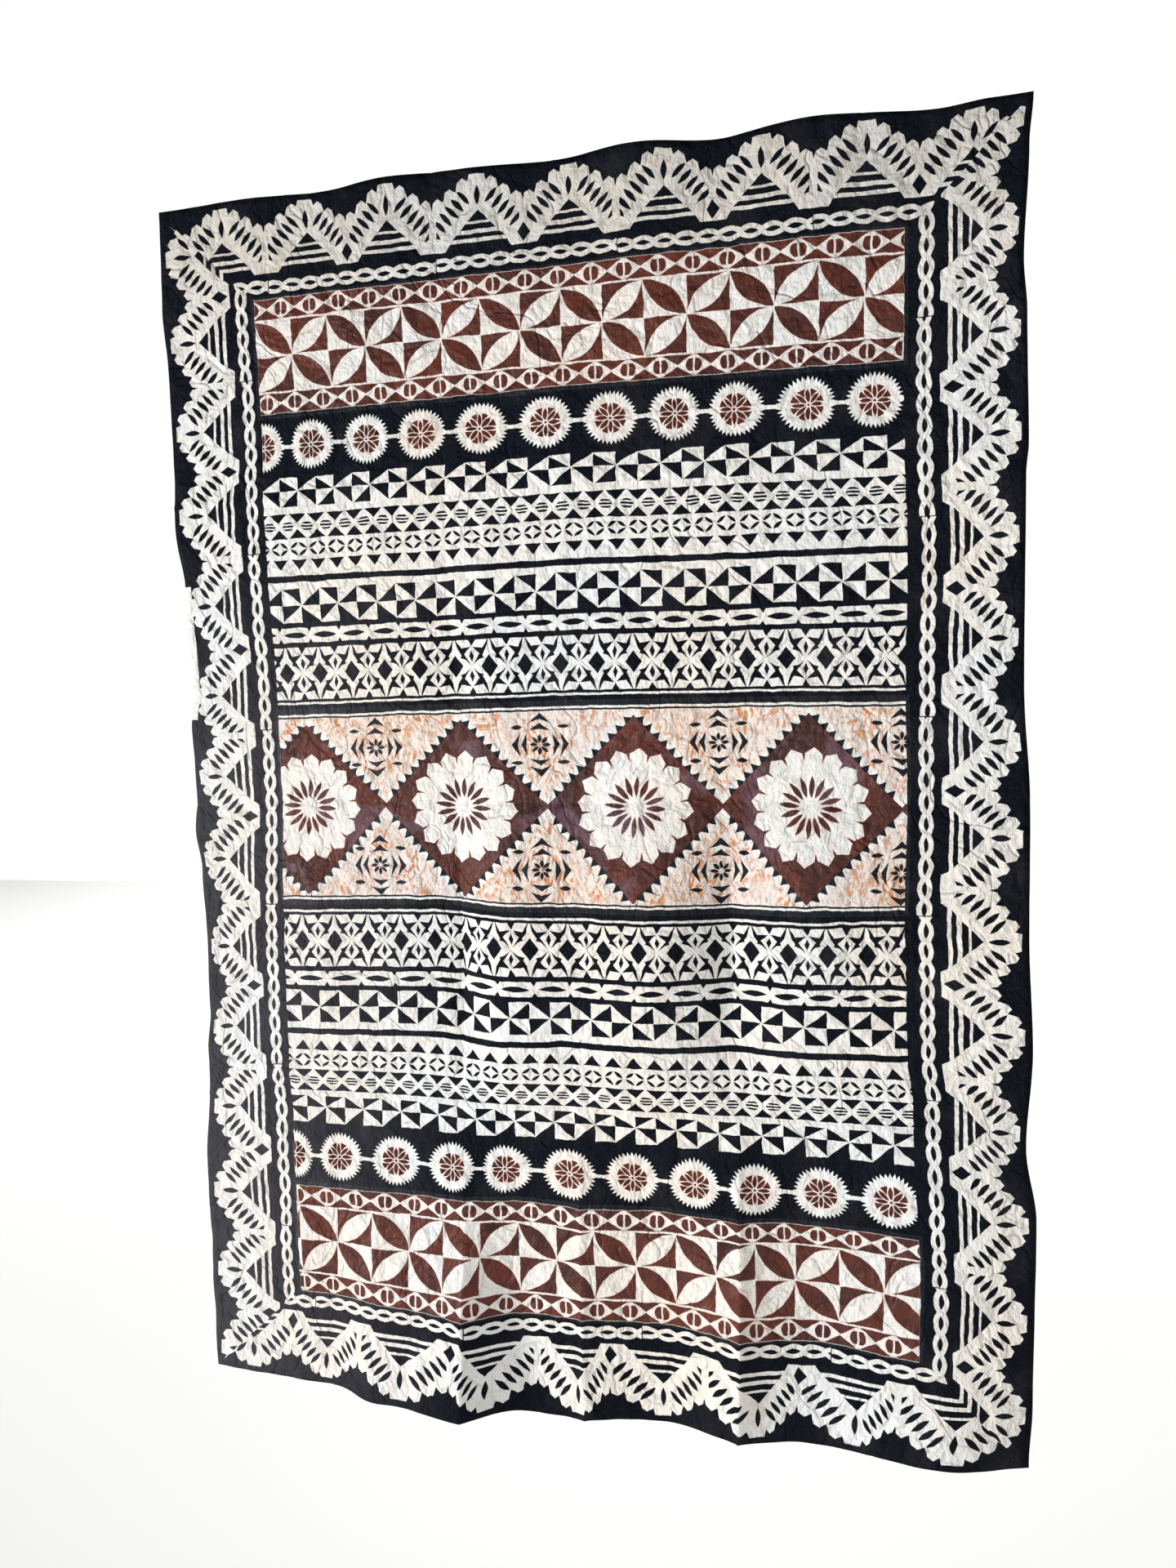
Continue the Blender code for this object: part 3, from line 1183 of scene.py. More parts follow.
@dataclass(frozen=True)
class LozengeStencil:
    """The middle band: brown lozenges with big flowers, and medallions on smudged bark."""

    repeat: float = 252.0
    middle: float = 927.0
    half_height: float = 131.0
    overlap: float = 3.0
    lower_squash: float = 0.965
    lean: float = 0.02
    top: float = 787.6
    bottom: float = 1064.0
    lines: tuple[Rule, ...] = (Rule(783.0, 1.7), Rule(1068.4, 1.6))
    petals: int = 16
    petal_turn: float = 0.08
    petal_roof: float = 0.8
    petal_reach: float = 84.5
    petal_half_width: float = 12.5
    seed_middle: float = 29.5
    seed_half_length: float = 15.0
    seed_half_width: float = 3.9
    tooth_repeat: float = 16.1
    tooth_mark: float = 3.0
    tooth_length: float = 10.2
    tooth_taper: float = 1.75
    tooth_overlap: float = 0.9
    teeth_end: float = 14.0
    teeth_side: float = 3.0
    smudge_gap: float = 9.0
    medallion: float = 91.0
    medallion_repeat: float = 255.8
    medallion_mark: float = 115.0
    medallion_width: float = 0.94
    medallion_height: float = 0.85
    chevrons: tuple[Chevron, ...] = (
        Chevron(26.6, 0.66, 19.2, 0.14),
        Chevron(39.4, 0.86, 31.0, 0.3),
    )
    small_petals: int = 8
    small_petal_middle: float = 8.8
    small_petal_half_length: float = 5.9
    dash_aside: float = 31.5
    dash_above: float = 21.8
    dash_half_length: float = 8.4
    small_half_width: float = 2.7

    def flower(self, x: Reading, y: Reading) -> tuple[Reading, Reading]:
        """Cuts a flower of house-shaped petals and its ring of seeds.

        Args:
            x: Distance across from the flower's middle.
            y: Distance down from its middle.

        Returns:
            The petals of bare bark, and the brown seeds.
        """
        radius = (x * x + y * y).worked("SQRT")
        turn = y.worked("ARCTAN2", x).from_mark(math.tau / self.petals, self.petal_turn)
        out, aside = radius * turn.worked("COSINE"), radius * turn.worked("SINE")
        slanted = out + aside * self.petal_roof
        roof = slanted.line(-self.petal_roof, self.petal_roof * self.petal_reach)
        petals = both(roof, self.petal_half_width - aside)
        along_seed = out - self.seed_middle
        return petals, leaf(along_seed, aside, self.seed_half_length, self.seed_half_width)

    def medallions(self, aside: Reading, above: Reading) -> Reading:
        """Inks an eight-leaved flower inside two rings of chevrons, with four dashes.

        Args:
            aside: Distance across from the medallion's middle, without a sign.
            above: Distance down from its middle, without a sign.

        Returns:
            The black ink.
        """
        flat = above * self.medallion_height
        aside = aside * self.medallion_width
        big, small = either(aside, flat), both(aside, flat)
        rings = []
        for ring in self.chevrons:
            inside = ring.outside - (big + small * ring.outside_bend)
            rings.append(both(inside, (big + small * ring.inside_bend) - ring.inside))
        radius = (aside * aside + above * above).worked("SQRT")
        turn = above.worked("ARCTAN2", aside).from_mark(math.tau / self.small_petals)
        along_leaf = radius - self.small_petal_middle
        leaves = leaf(
            along_leaf, radius * turn, self.small_petal_half_length, self.small_half_width
        )
        along_dash, off_dash = aside - self.dash_aside, abs(flat - self.dash_above)
        dashes = leaf(along_dash, off_dash, self.dash_half_length, self.small_half_width)
        return either(*rings, leaves, dashes)

    def inked(self, place: Place) -> Inked:
        """Inks the lozenges brown, and their teeth and the medallions black.

        Args:
            place: The point.

        Returns:
            The ink of the band, with the smudges between the lozenges.
        """
        across = place.x.past_mark(self.repeat)
        down = place.y - self.middle
        off = abs(down)
        aside = abs(across + either(down, 0.0) * self.lean)
        lower_off = either(-down, down * self.lower_squash)
        block = lozenge(aside, lower_off, self.repeat / 2 + self.overlap, self.half_height)
        petals, seeds = self.flower(across, down)
        brown = either(both(block, -petals), seeds)
        beside_tooth = (off * 0.726 - aside * 0.688).from_mark(self.tooth_repeat, self.tooth_mark)
        outside = self.tooth_overlap - block
        tapered = block - beside_tooth * self.tooth_taper
        black = both(outside, tapered.line(0.5, 0.5 * self.tooth_length))
        black = both(black, off - self.teeth_end, aside - self.teeth_side)
        medal_x = abs(place.x.past_mark(self.medallion_repeat, self.medallion_mark))
        black = either(black, self.medallions(medal_x, abs(off - self.medallion)))
        inside = both(place.y - self.top, self.bottom - place.y)
        bare_lines = ruled(self.lines, place.y)
        black = both(either(black, -inside), -bare_lines)
        panel = within_panel(place)
        smudged = both(inside, (-block) - self.smudge_gap, panel)
        return Inked(
            black=either(black, -panel), brown=both(brown, inside, panel), smudged=smudged
        )


@dataclass(frozen=True)
class BarkFinish:
    """The feel of beaten bark cloth: fibres, mottling and worn inks, with painted shade and sheen.
    """

    bark_roughness: float = 0.86
    soot_roughness: float = 0.62
    clay_roughness: float = 0.42
    dull_shine: float = 0.03
    clay_shine: float = 0.16
    clay_cover: float = 0.985
    soot_cover: float = 0.997
    blotch_share: float = 0.5
    fibre_share: float = 0.22
    # Painted shade along the top edge: the row where it ends, how far it fades and how strong it
    # is.
    top_shade_end: float = 210.0
    top_shade_fade: float = 130.0
    top_shade_share: float = 0.36
    halo_mm: float = 4.0
    halo_share: float = 0.5
    smudge_share: float = 0.9
    smudge_tint: float = 0.14
    smudge_softness: float = 2.0
    # Painted reflection: how much of the sky's violet sheen the lozenges take.
    sky_sheen_share: float = 0.6
    # Painted sheen on the black ink, which grows towards the left and the bottom.
    sheen_width: float = 420.0
    sheen_top: float = 500.0
    sheen_share: float = 1.1
    worn_share: float = 0.35
    speck_share: float = 0.25
    cut_waver_mm: float = 2.6
    crumple_relief: float = 9.0
    beaten_relief: float = 2.2
    fibre_relief: float = 0.2
    wrinkle_relief: float = 45.0
    wrinkle_half_width: float = 0.04

    def uv(self, tree: bpy.types.NodeTree, name: str) -> bpy.types.NodeSocket:
        """Reads one of the sheet's UV maps.

        Args:
            tree: The material's nodes.
            name: The map's name.

        Returns:
            The outlet with the places on the map.
        """
        node = tree.nodes.new("ShaderNodeUVMap")
        node.uv_map = name
        return node.outputs[0]

    def moved(
        self,
        tree: bpy.types.NodeTree,
        operation: str,
        first: bpy.types.NodeSocket,
        second: bpy.types.NodeSocket | tuple,
        third: bpy.types.NodeSocket | None = None,
    ) -> bpy.types.NodeSocket:
        """Puts places through one vector maths node.

        Args:
            tree: The material's nodes.
            operation: What the node does.
            first: The first places.
            second: The second places, or plain numbers.
            third: The third places, where the node takes them.

        Returns:
            The outlet with the new places.
        """
        node = tree.nodes.new("ShaderNodeVectorMath")
        node.operation = operation
        tree.links.new(first, node.inputs[0])
        if isinstance(second, tuple):
            node.inputs[1].default_value = second
        else:
            tree.links.new(second, node.inputs[1])
        if third is not None:
            tree.links.new(third, node.inputs[2])
        return node.outputs[0]

    def grain(
        self,
        tree: bpy.types.NodeTree,
        places: bpy.types.NodeSocket,
        stretch: tuple[float, float, float],
        detail: float = 2.0,
        warp: float = 0.0,
    ) -> bpy.types.Node:
        """Adds a noise node over places stretched for it.

        Args:
            tree: The material's nodes.
            places: The places, in millimetres.
            stretch: How many grains come to a millimetre along each direction.
            detail: How much fine detail the grain has.
            warp: How far the grain is twisted.

        Returns:
            The noise node.
        """
        node = tree.nodes.new("ShaderNodeTexNoise")
        node.inputs["Scale"].default_value = 1.0
        node.inputs["Detail"].default_value = detail
        node.inputs["Distortion"].default_value = warp
        tree.links.new(self.moved(tree, "MULTIPLY", places, stretch), node.inputs["Vector"])
        return node

    def level(self, node: bpy.types.Node, start: float, end: float) -> Reading:
        """Reads a noise node from 0 at one of its levels to 1 at another.

        Args:
            node: The noise node.
            start: The level that reads 0.
            end: The level that reads 1.

        Returns:
            The reading, kept between 0 and 1.
        """
        tree = node.id_data
        slope = 1.0 / (end - start)
        return Reading(tree, node.outputs[0]).line(slope, -start * slope).clamped()

    def blend(
        self,
        share: Reading,
        under: bpy.types.NodeSocket | Paint,
        over: bpy.types.NodeSocket | Paint,
    ) -> bpy.types.NodeSocket:
        """Lays one colour over another.

        Args:
            share: How much of the upper colour shows, from 0 to 1.
            under: The lower colour.
            over: The upper colour.

        Returns:
            The outlet with the mixed colour.
        """
        node = share.tree.nodes.new("ShaderNodeMix")
        node.data_type = "RGBA"
        share.tree.links.new(share.socket, node.inputs["Factor"])
        for inlet, colour in ((node.inputs[6], under), (node.inputs[7], over)):
            if isinstance(colour, Paint):
                inlet.default_value = colour.linear
            else:
                share.tree.links.new(colour, inlet)
        return node.outputs[2]

    def wavered(
        self, tree: bpy.types.NodeTree, places: bpy.types.NodeSocket, cloth: bpy.types.NodeSocket
    ) -> tuple[Reading, Reading]:
        """Shakes places a little, so that cut edges look cut by hand.

        Args:
            tree: The material's nodes.
            places: The places to shake.
            cloth: Places on the drawing, which the shaking follows.

        Returns:
            The shaken column and row.
        """
        shake = self.grain(tree, cloth, (0.045, 0.045, 1.0), 3.0)
        amount = self.cut_waver_mm * 2.0
        centred = self.moved(tree, "SUBTRACT", shake.outputs[1], (0.5, 0.5, 0.5))
        shaken = tree.nodes.new("ShaderNodeVectorMath")
        shaken.operation = "MULTIPLY_ADD"
        tree.links.new(centred, shaken.inputs[0])
        shaken.inputs[1].default_value = (amount, amount, 0.0)
        tree.links.new(places, shaken.inputs[2])
        apart = tree.nodes.new("ShaderNodeSeparateXYZ")
        tree.links.new(shaken.outputs[0], apart.inputs[0])
        return Reading(tree, apart.outputs[0]), Reading(tree, apart.outputs[1])

    def new_material(self, name: str, sheen: float) -> bpy.types.Material:
        """Starts a material whose shader has a little of cloth's surface shine.

        Args:
            name: The material's name.
            sheen: How strongly the surface reflects.

        Returns:
            The material.
        """
        material = bpy.data.materials.new(name)
        material.use_nodes = True
        shader = material.node_tree.nodes["Principled BSDF"]
        shader.inputs["Specular IOR Level"].default_value = sheen
        return material

    def bark(
        self, tree: bpy.types.NodeTree, cloth: bpy.types.NodeSocket
    ) -> tuple[bpy.types.NodeSocket, Reading]:
        """Colours bare beaten bark, with painted shade that greys it along the top edge.

        Args:
            tree: The material's nodes.
            cloth: Places on the drawing.

        Returns:
            The colour of the bark, and the grain of its fibres from 0 to 1.
        """
        broad = self.level(self.grain(tree, cloth, (0.0035, 0.0022, 1.0), 2.0), 0.35, 0.65)
        colour = self.blend(broad, Paint.WARM_BARK, Paint.COOL_BARK)
        fibres = self.grain(tree, cloth, (0.42, 0.05, 1.0), 3.0, 0.6)
        fibre = self.level(fibres, 0.3, 0.75)
        blotch = self.level(self.grain(tree, cloth, (0.035, 0.028, 1.0), 4.0, 0.8), 0.52, 0.85)
        colour = self.blend(blotch * self.blotch_share, colour, Paint.STAINED_BARK)
        apart = tree.nodes.new("ShaderNodeSeparateXYZ")
        tree.links.new(cloth, apart.inputs[0])
        row = Reading(tree, apart.outputs[1])
        # Painted shade: the bark greys over the top rows, standing in for the dimmer light there.
        top_shade = row.line(-1 / self.top_shade_fade, self.top_shade_end / self.top_shade_fade)
        top_shade = top_shade.clamped() * self.top_shade_share
        colour = self.blend(top_shade, colour, Paint.SHADED_TOP_BARK)
        return self.blend(fibre * self.fibre_share, colour, Paint.STAINED_BARK), fibre

    def relief(
        self,
        tree: bpy.types.NodeTree,
        cloth: bpy.types.NodeSocket,
        fibre: Reading,
        shader: bpy.types.Node,
    ) -> None:
        """Gives a shader the small relief of fibres, beater marks, crumples and wrinkles.

        Args:
            tree: The material's nodes.
            cloth: Places on the drawing.
            fibre: The grain of the fibres.
            shader: The shader that takes the relief.
        """
        crumples = Reading(tree, self.grain(tree, cloth, (0.045, 0.038, 1.0), 3.0, 0.5).outputs[0])
        beaten = Reading(tree, self.grain(tree, cloth, (0.17, 0.12, 1.0), 2.0).outputs[0])
        wandering = Reading(tree, self.grain(tree, cloth, (0.013, 0.010, 1.0), 2.0, 0.8).outputs[0])
        near = abs(wandering - 0.5).worked("MINIMUM", self.wrinkle_half_width)
        height = crumples * self.crumple_relief + beaten * self.beaten_relief
        height = height + fibre * self.fibre_relief + near * self.wrinkle_relief
        bump = tree.nodes.new("ShaderNodeBump")
        bump.inputs["Strength"].default_value = 1.0
        bump.inputs["Distance"].default_value = MM
        tree.links.new(height.socket, bump.inputs["Height"])
        tree.links.new(bump.outputs[0], shader.inputs["Normal"])

    def plain(self, name: str) -> bpy.types.Material:
        """Finishes the unprinted back and cut edges.

        Args:
            name: The material's name.

        Returns:
            The material.
        """
        material = self.new_material(name, self.dull_shine)
        tree = material.node_tree
        shader = tree.nodes["Principled BSDF"]
        cloth = self.uv(tree, "cloth")
        colour, fibre = self.bark(tree, cloth)
        tree.links.new(colour, shader.inputs["Base Color"])
        rough = fibre.line(0.08, self.bark_roughness - 0.04)
        tree.links.new(rough.socket, shader.inputs["Roughness"])
        self.relief(tree, cloth, fibre, shader)
        return material

    def printed(self, name: str, stencil: Stencil) -> bpy.types.Material:
        """Finishes a printed strip of the cloth through its stencil.

        Args:
            name: The material's name.
            stencil: One of the stencil classes.

        Returns:
            The material.
        """
        glossy = isinstance(stencil, LozengeStencil | PetalStencil)
        material = self.new_material(name, self.clay_shine if glossy else self.dull_shine)
        tree = material.node_tree
        shader = tree.nodes["Principled BSDF"]
        cloth = self.uv(tree, "cloth")
        column, row = self.wavered(tree, cloth, cloth)
        x, y = self.wavered(tree, self.uv(tree, "print"), cloth)
        inked = stencil.inked(Place(column, row, x, y))
        black = inked.black.covered()
        colour, fibre = self.bark(tree, cloth)
        mottle = self.grain(tree, cloth, (0.03, 0.045, 1.0), 5.0, 1.0)
        mottled = self.level(mottle, 0.38, 0.66)
        if inked.smudged is not None:
            brushed = self.grain(tree, cloth, (0.066, 0.038, 1.0), 5.0, 2.8)
            heavy = self.level(self.grain(tree, cloth, (0.02, 0.016, 1.0), 2.0), 0.35, 0.68)
            streaks = self.level(brushed, 0.48, 0.58)
            streaks = streaks * inked.smudged.covered(self.smudge_softness)
            tinted = inked.smudged.covered(self.smudge_softness) * self.smudge_tint
            share = either(streaks * (heavy * 0.7 + 0.45) * self.smudge_share, tinted)
            colour = self.blend(share, colour, Paint.SMUDGE)
        rough = fibre.line(0.06, self.bark_roughness - 0.03)
        if inked.brown is not None:
            brown = inked.brown.covered()
            halo = inked.brown.line(1 / self.halo_mm, 1.0).clamped() * self.halo_share
            colour = self.blend(halo, colour, Paint.PINK_HALO)
            broad = self.level(self.grain(tree, cloth, (0.006, 0.008, 1.0), 3.0), 0.38, 0.62)
            clay = self.blend(mottled * 0.5 + broad * 0.5, Paint.CLAY, Paint.DARK_CLAY)
            if inked.smudged is not None:
                clay = self.blend(broad.line(0.5, 0.15), clay, Paint.DARK_CLAY)
                # Painted reflection: violet patches on the brown lozenges stand in for the sky's
                # glossy sheen.
                sky_sheen_grain = self.grain(tree, cloth, (0.011, 0.013, 1.0), 5.0, 0.6)
                violet = self.level(sky_sheen_grain, 0.53, 0.61) * self.sky_sheen_share
                clay = self.blend(violet, clay, Paint.VIOLET_SKY_SHEEN)
            colour = self.blend(brown * self.clay_cover, colour, clay)
            gloss = mottled.line(0.16, self.clay_roughness)
            rough = rough + brown * (gloss - rough)
        # The black greys with real wear and specks, and with painted sheen that grows towards the
        # lower left.
        worn = self.level(self.grain(tree, cloth, (0.012, 0.009, 1.0), 5.0), 0.50, 0.80)
        leftwards = column.line(-1 / self.sheen_width, 1.0)
        lower_left_sheen = both(leftwards, row.line(1 / self.sheen_top, -1.0)).worked("MAXIMUM", 0.0)
        specks = self.level(self.grain(tree, cloth, (0.30, 0.24, 1.0), 3.0), 0.58, 0.72)
        share = worn * self.worn_share + lower_left_sheen * self.sheen_share
        share = both(share + specks * self.speck_share, 1.0)
        soot = self.blend(share, Paint.SOOT, Paint.WORN_AND_SHEENED_SOOT)
        colour = self.blend(black * self.soot_cover, colour, soot)
        sooty = mottled.line(0.1, self.soot_roughness)
        rough = rough + black * (sooty - rough)
        tree.links.new(colour, shader.inputs["Base Color"])
        tree.links.new(rough.socket, shader.inputs["Roughness"])
        self.relief(tree, cloth, fibre, shader)
        return material


@dataclass(frozen=True)
class PaintedCloth:
    """The sheet itself: a grid along its creases and print bands, with a thickness."""

    sheet: HungSheet = HungSheet()
    finish: BarkFinish = BarkFinish()
    largest_step: float = 9.5
    crease_flank: float = 4.5
    back_strip: float = 0.06
    map_margin: float = 0.004
    thin_edge: float = 1.6

    @property
    def stencils(self) -> dict[str, Stencil]:
        """Lists the stencils in the order of the material slots.

        Returns:
            Every stencil by the name of its material.
        """
        return {
            "border_print": BorderStencil(),
            "petal_print": PetalStencil(),
            "last_petal_print": PetalStencil(
                eye_mark=10.0, lower_stretch=1.0, lower_start=-5.4
            ),
            "rosette_print": RosetteStencil(),
            "pinwheel_print": PinwheelStencil(),
            "eye_row_print": EyeRowStencil(),
            "turned_pinwheel_print": PinwheelStencil(
                repeat=63.0, middle=611.5, upper=25.7, lower=26.0, turned=True
            ),
            "link_print": LinkStencil(),
            "star_print": StarStencil(),
            "lozenge_print": LozengeStencil(),
        }

    def lines(self, marks: list[float]) -> list[float]:
        """Fills the gaps between marks with even steps.

        Args:
            marks: Columns or rows that must be lines of the grid.

        Returns:
            All the lines of the grid, in order.
        """
        marks = sorted(set(marks))
        filled = [marks[0]]
        for start, end in zip(marks, marks[1:]):
            steps = max(1, math.ceil((end - start) / self.largest_step))
            filled += [start + (end - start) * step / steps for step in range(1, steps + 1)]
        return filled

    def columns(self) -> list[float]:
        """Finds the upright lines of the grid, with one on every fold and crease.

        Returns:
            Their columns, in millimetres on the drawing.
        """
        scale = DRAWING_WIDTH / self.sheet.width
        marks = [fold.across * scale for fold in FOLDS] + [FIELD_LEFT, FIELD_RIGHT]
        for crease in CREASES:
            if crease.upright:
                middle = crease.at * scale
                marks += [middle - self.crease_flank, middle, middle + self.crease_flank]
        return self.lines(marks)

    def rows(self) -> list[float]:
        """Finds the level lines of the grid, with one at every level and band.

        Returns:
            Their rows, in millimetres on the drawing.
        """
        scale = DRAWING_LENGTH / self.sheet.length
        marks = [level.down * scale for level in LEVELS]
        marks += [band.first_row for band in BANDS] + [BANDS[-1].last_row]
        for crease in CREASES:
            if not crease.upright:
                middle = crease.at * scale
                marks += [middle - self.crease_flank, middle + self.crease_flank]
        return self.lines(marks)

    def band_at(self, column: float, row: float) -> Band | None:
        """Finds the band that a face lies in.

        Args:
            column: The column of the face's middle.
            row: The row of the face's middle.

        Returns:
            The band, or nothing for the border.
        """
        if not FIELD_LEFT < column < FIELD_RIGHT:
            return None
        return next((band for band in BANDS if band.first_row < row < band.last_row), None)

    def border_place(
        self, column: float, row: float, left: bool, upper: bool
    ) -> tuple[float, float]:
        """Counts the scallops at a point of the border, across and down.

        Args:
            column: The point's column on the drawing.
            row: The point's row on the drawing.
            left: Whether its face is in the left half.
            upper: Whether its face is in the upper half.

        Returns:
            The place along the level sides and along the upright sides, in stencil millimetres.
        """
        repeat = BorderStencil().repeat
        hem_marks = tuple(sorted(HEM_TIPS + HEM_FEET))
        across = counted(TOP_TIPS, column) if upper else counted(hem_marks, column) / 2 + 1
        down = counted(LEFT_TIPS, row) + 1 if left else counted(RIGHT_TIPS, row) - 1
        return across * repeat, down * repeat

    def band_place(self, band: Band, column: float, row: float) -> tuple[float, float]:
        """Finds the point of a band's stencil that comes to a point of the drawing.

        Args:
            band: The band.
            column: The point's column on the drawing.
            row: The point's row on the drawing.

        Returns:
            The column and row on the stencil, in millimetres.
        """
        repeat = self.stencils[band.stencil].repeat
        part = (row - band.first_row) / (band.last_row - band.first_row)
        y = band.stencil_first + (band.stencil_last - band.stencil_first) * part
        gap, share = place_between([mark[1] for mark in band.marks], column)
        before, after = band.marks[gap][0], band.marks[gap + 1][0]
        return (before + (after - before) * share) * repeat, y

    def side_of(self, face: bmesh.types.BMFace) -> Side:
        """Tells the printed face, the back and the cut edge apart.

        Args:
            face: A face of the sheet.

        Returns:
            The part of the sheet that it belongs to.
        """
        shortest = min(edge.calc_length() for edge in face.edges)
        if shortest < self.thin_edge * self.sheet.thickness:
            return Side.CUT_EDGE
        return Side.PRINTED if face.normal.y < 0 else Side.BACK

    def baked_place(self, side: Side, column: float, row: float) -> tuple[float, float]:
        """Lays a point out on the sheet's own square map, the printed face over most of it.

        Args:
            side: The part of the sheet.
            column: The point's column on the drawing.
            row: The point's row on the drawing.

        Returns:
            The place on the square map.
        """
        across, down = column / DRAWING_WIDTH, row / DRAWING_LENGTH
        front, margin = 1.0 - self.back_strip, self.map_margin
        start, width = (0.0, front) if side is Side.PRINTED else (front, self.back_strip)
        upwards = 1.0 - margin - down * (1.0 - 2 * margin)
        return start + margin + across * (width - 2 * margin), upwards

    def sheet_mesh(self) -> bmesh.types.BMesh:
        """Hangs the grid, gives it its thickness and marks each vertex with its place.

        Returns:
            The mesh, still open for editing.
        """
        columns, rows = self.columns(), self.rows()
        grid = bmesh.new()
        bmesh.ops.create_grid(
            grid, x_segments=len(columns) - 1, y_segments=len(rows) - 1, size=1.0
        )
        column_mark = grid.verts.layers.float.new("column")
        row_mark = grid.verts.layers.float.new("row")
        for vertex in grid.verts:
            column = columns[round((vertex.co.x + 1) / 2 * (len(columns) - 1))]
            row = rows[round((1 - vertex.co.y) / 2 * (len(rows) - 1))]
            vertex[column_mark], vertex[row_mark] = column, row
            vertex.co = self.sheet.hung(column, row)
        bmesh.ops.recalc_face_normals(grid, faces=grid.faces)
        bmesh.ops.solidify(grid, geom=grid.faces[:], thickness=self.sheet.thickness)
        bmesh.ops.recalc_face_normals(grid, faces=grid.faces)
        return grid

    def mark_print(self, grid: bmesh.types.BMesh) -> None:
        """Gives every face its stencil and every corner its places on the maps.

        Args:
            grid: The sheet's mesh.
        """
        column_mark = grid.verts.layers.float["column"]
        row_mark = grid.verts.layers.float["row"]
        baked = grid.loops.layers.uv.new("OFBake")
        cloth = grid.loops.layers.uv.new("cloth")
        printed = grid.loops.layers.uv.new("print")
        slots = list(self.stencils)
        for face in grid.faces:
            face.smooth = True
            side = self.side_of(face)
            marks = [(vert[column_mark], vert[row_mark]) for vert in face.verts]
            middle_column = sum(mark[0] for mark in marks) / len(marks)
            middle_row = sum(mark[1] for mark in marks) / len(marks)
            band = self.band_at(middle_column, middle_row)
            name = band.stencil if band else "border_print"
            face.material_index = slots.index(name) if side is Side.PRINTED else len(slots)
            left, upper = middle_column < DRAWING_WIDTH / 2, middle_row < DRAWING_LENGTH / 2
            for loop in face.loops:
                column, row = loop.vert[column_mark], loop.vert[row_mark]
                loop[baked].uv = self.baked_place(side, column, row)
                loop[cloth].uv = (column, row)
                if band:
                    loop[printed].uv = self.band_place(band, column, row)
                else:
                    loop[printed].uv = self.border_place(column, row, left, upper)

    def build(self) -> bpy.types.Object:
        """Builds and dresses the cloth.

        Returns:
            The finished object.
        """
        grid = self.sheet_mesh()
        self.mark_print(grid)
        mesh = bpy.data.meshes.new("stencilled_cloth")
        grid.to_mesh(mesh)
        grid.free()
        for name, stencil in self.stencils.items():
            mesh.materials.append(self.finish.printed(name, stencil))
        mesh.materials.append(self.finish.plain("unprinted_bark"))
        cloth = bpy.data.objects.new("stencilled_cloth", mesh)
        bpy.context.scene.collection.objects.link(cloth)
        return cloth


class Light(NamedTuple):
    """A soft square light: where it hangs, what it faces, its width and its power in watts."""

    name: str
    place: tuple[float, float, float]
    target: tuple[float, float, float]
    size: float
    power: float
    colour: tuple[float, float, float]


CLOTH_MIDDLE = (0.0, 0.0, -0.95)

LIGHTS = (
    Light("window", (-8.0, -4.2, -1.6), CLOTH_MIDDLE, 1.2, 760.0, (0.97, 0.98, 1.0)),
    Light("sky", (-0.4, -2.1, -1.0), CLOTH_MIDDLE, 0.9, 22.5, (0.94, 0.96, 1.0)),
    Light("lamp", (3.0, -3.0, -1.1), CLOTH_MIDDLE, 2.0, 33.0, (1.0, 0.98, 0.95)),
    Light("ceiling", (0.0, 7.4, 2.2), (0.0, 7.4, -2.2), 14.0, 1150.0, (1.0, 1.0, 1.0)),
)


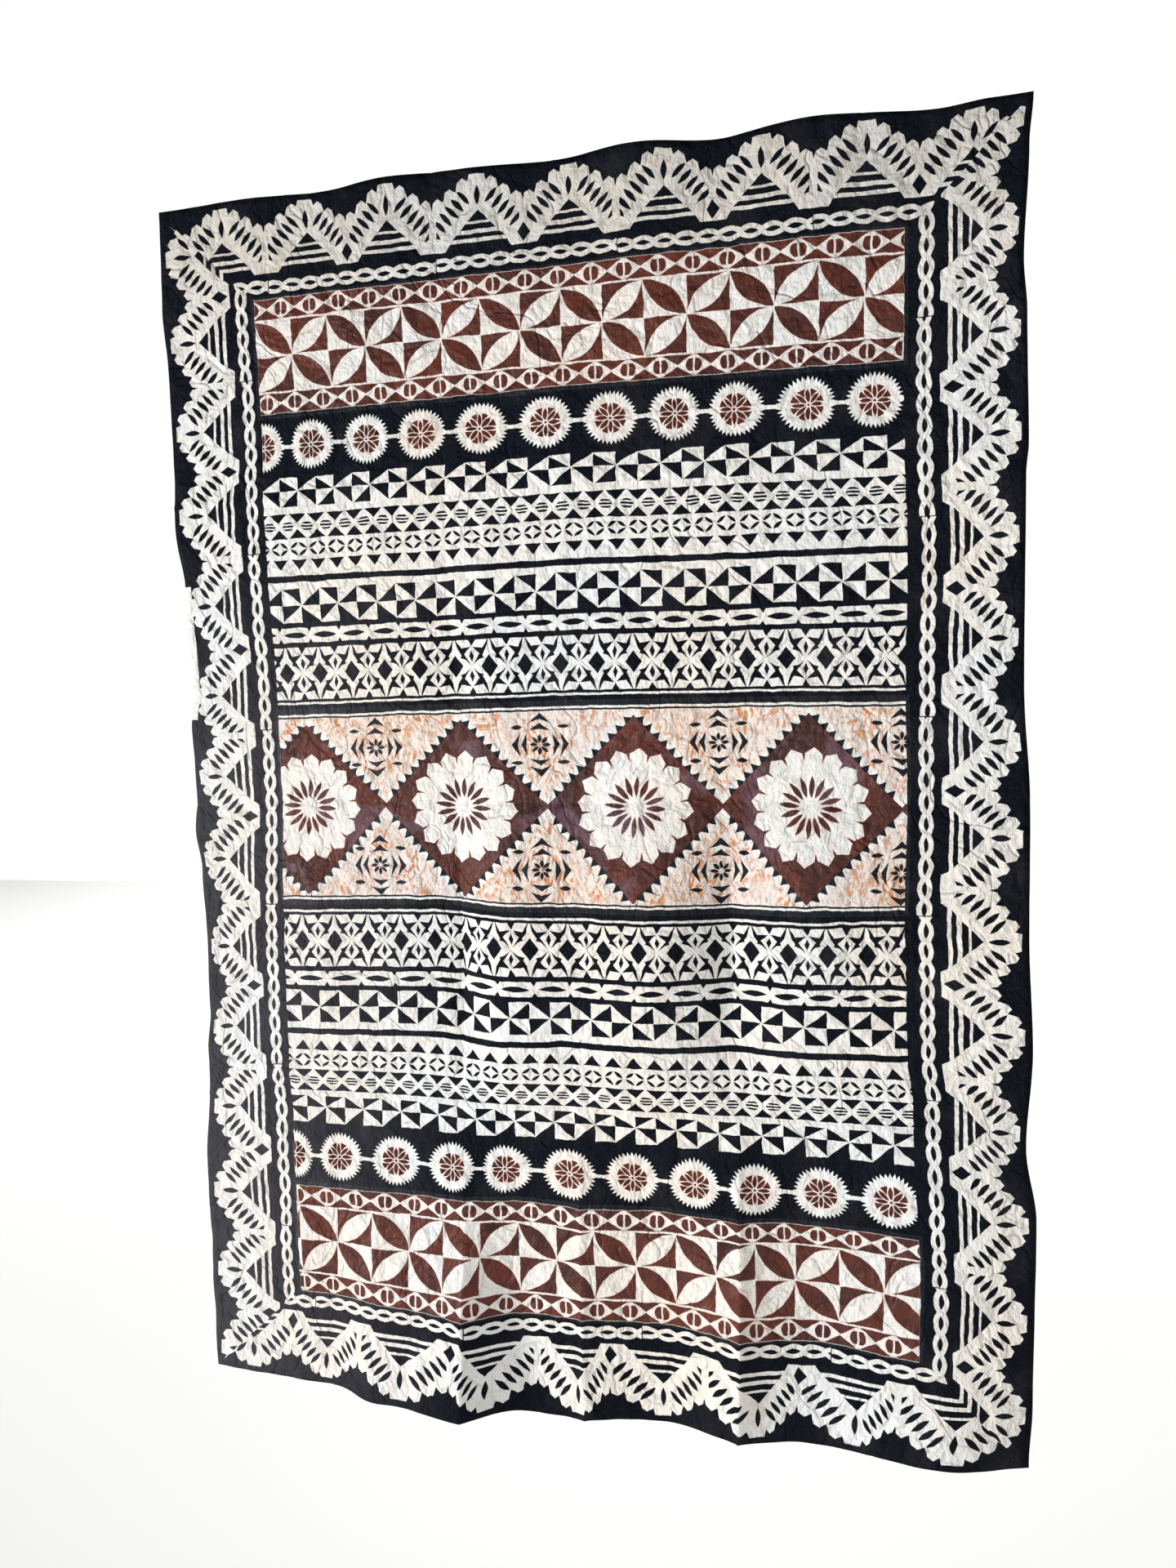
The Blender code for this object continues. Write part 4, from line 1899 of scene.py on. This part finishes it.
@dataclass(frozen=True)
class Studio:
    """A pale floor, soft lights and a camera in front of the hanging cloth."""

    floor_height: float = -2.25
    floor_size: float = 14.0
    floor_roughness: float = 0.9
    surround: float = 0.15
    backdrop_brightness: float = 1.0
    focal_length_mm: float = 27.04
    sensor_width_mm: float = 36.0
    camera_place: tuple[float, float, float] = (0.432, -1.645, -0.735)
    turn: float = -0.2441
    tilt: float = -0.0792
    roll: float = -0.0258

    def floor(self) -> bpy.types.Object:
        """Lays the floor.

        Returns:
            The floor.
        """
        plane = bmesh.new()
        bmesh.ops.create_grid(plane, x_segments=1, y_segments=1, size=self.floor_size / 2)
        bmesh.ops.translate(plane, verts=plane.verts, vec=(0.0, 0.0, self.floor_height))
        mesh = bpy.data.meshes.new("floor")
        plane.to_mesh(mesh)
        plane.free()
        material = bpy.data.materials.new("floor_paint")
        material.use_nodes = True
        shader = material.node_tree.nodes["Principled BSDF"]
        shader.inputs["Base Color"].default_value = Paint.FLOOR.linear
        shader.inputs["Roughness"].default_value = self.floor_roughness
        mesh.materials.append(material)
        floor = bpy.data.objects.new("floor", mesh)
        bpy.context.scene.collection.objects.link(floor)
        return floor

    def hang(self, light: Light) -> None:
        """Hangs one soft light.

        Args:
            light: Its place, aim, size, power and colour.
        """
        lamp = bpy.data.lights.new(light.name, "AREA")
        lamp.size = light.size
        lamp.energy = light.power
        lamp.color = light.colour
        hung = bpy.data.objects.new(light.name, lamp)
        hung.location = light.place
        aim = Vector(light.target) - Vector(light.place)
        hung.rotation_euler = aim.to_track_quat("-Z", "Y").to_euler()
        bpy.context.scene.collection.objects.link(hung)

    def daylight(self) -> None:
        """Fills the room with pale even light, and makes what the camera sees of it whiter."""
        world = bpy.data.worlds.new("pale_room")
        bpy.context.scene.world = world
        world.use_nodes = True
        tree = world.node_tree
        room = tree.nodes["Background"]
        room.inputs["Color"].default_value = (1.0, 1.0, 1.0, 1.0)
        room.inputs["Strength"].default_value = self.surround
        seen = tree.nodes.new("ShaderNodeBackground")
        seen.inputs["Color"].default_value = (1.0, 1.0, 1.0, 1.0)
        seen.inputs["Strength"].default_value = self.backdrop_brightness
        path = tree.nodes.new("ShaderNodeLightPath")
        mix = tree.nodes.new("ShaderNodeMixShader")
        tree.links.new(path.outputs["Is Camera Ray"], mix.inputs[0])
        tree.links.new(room.outputs[0], mix.inputs[1])
        tree.links.new(seen.outputs[0], mix.inputs[2])
        tree.links.new(mix.outputs[0], tree.nodes["World Output"].inputs["Surface"])

    def camera(self) -> None:
        """Stands the camera where the photograph was taken from."""
        lens = bpy.data.cameras.new("camera")
        lens.lens = self.focal_length_mm
        lens.sensor_width = self.sensor_width_mm
        lens.sensor_fit = "AUTO"
        ahead = Vector(
            (
                math.sin(self.turn) * math.cos(self.tilt),
                math.cos(self.turn) * math.cos(self.tilt),
                math.sin(self.tilt),
            )
        )
        level_right = Vector((math.cos(self.turn), -math.sin(self.turn), 0.0))
        level_up = level_right.cross(ahead)
        right = math.cos(self.roll) * level_right + math.sin(self.roll) * level_up
        up = math.cos(self.roll) * level_up - math.sin(self.roll) * level_right
        camera = bpy.data.objects.new("camera", lens)
        axes = Matrix((right, up, -ahead)).transposed().to_4x4()
        camera.matrix_world = Matrix.Translation(self.camera_place) @ axes
        bpy.context.scene.collection.objects.link(camera)
        bpy.context.scene.camera = camera

    def build(self) -> None:
        """Sets up floor, lights, room and camera."""
        self.floor()
        for light in LIGHTS:
            self.hang(light)
        self.daylight()
        self.camera()
        bpy.context.scene.view_settings.view_transform = "Standard"


def main() -> None:
    """Builds the studio and the cloth, and reports each piece."""
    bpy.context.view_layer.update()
    Studio().build()
    cloth = PaintedCloth().build()
    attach(cloth, "root")
    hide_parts("tapa_cloth")
    LOG.info("%s: %d faces", cloth.name, len(cloth.data.polygons))


if __name__ == "__main__":
    logging.basicConfig(level=logging.INFO, format="%(message)s")
    main()
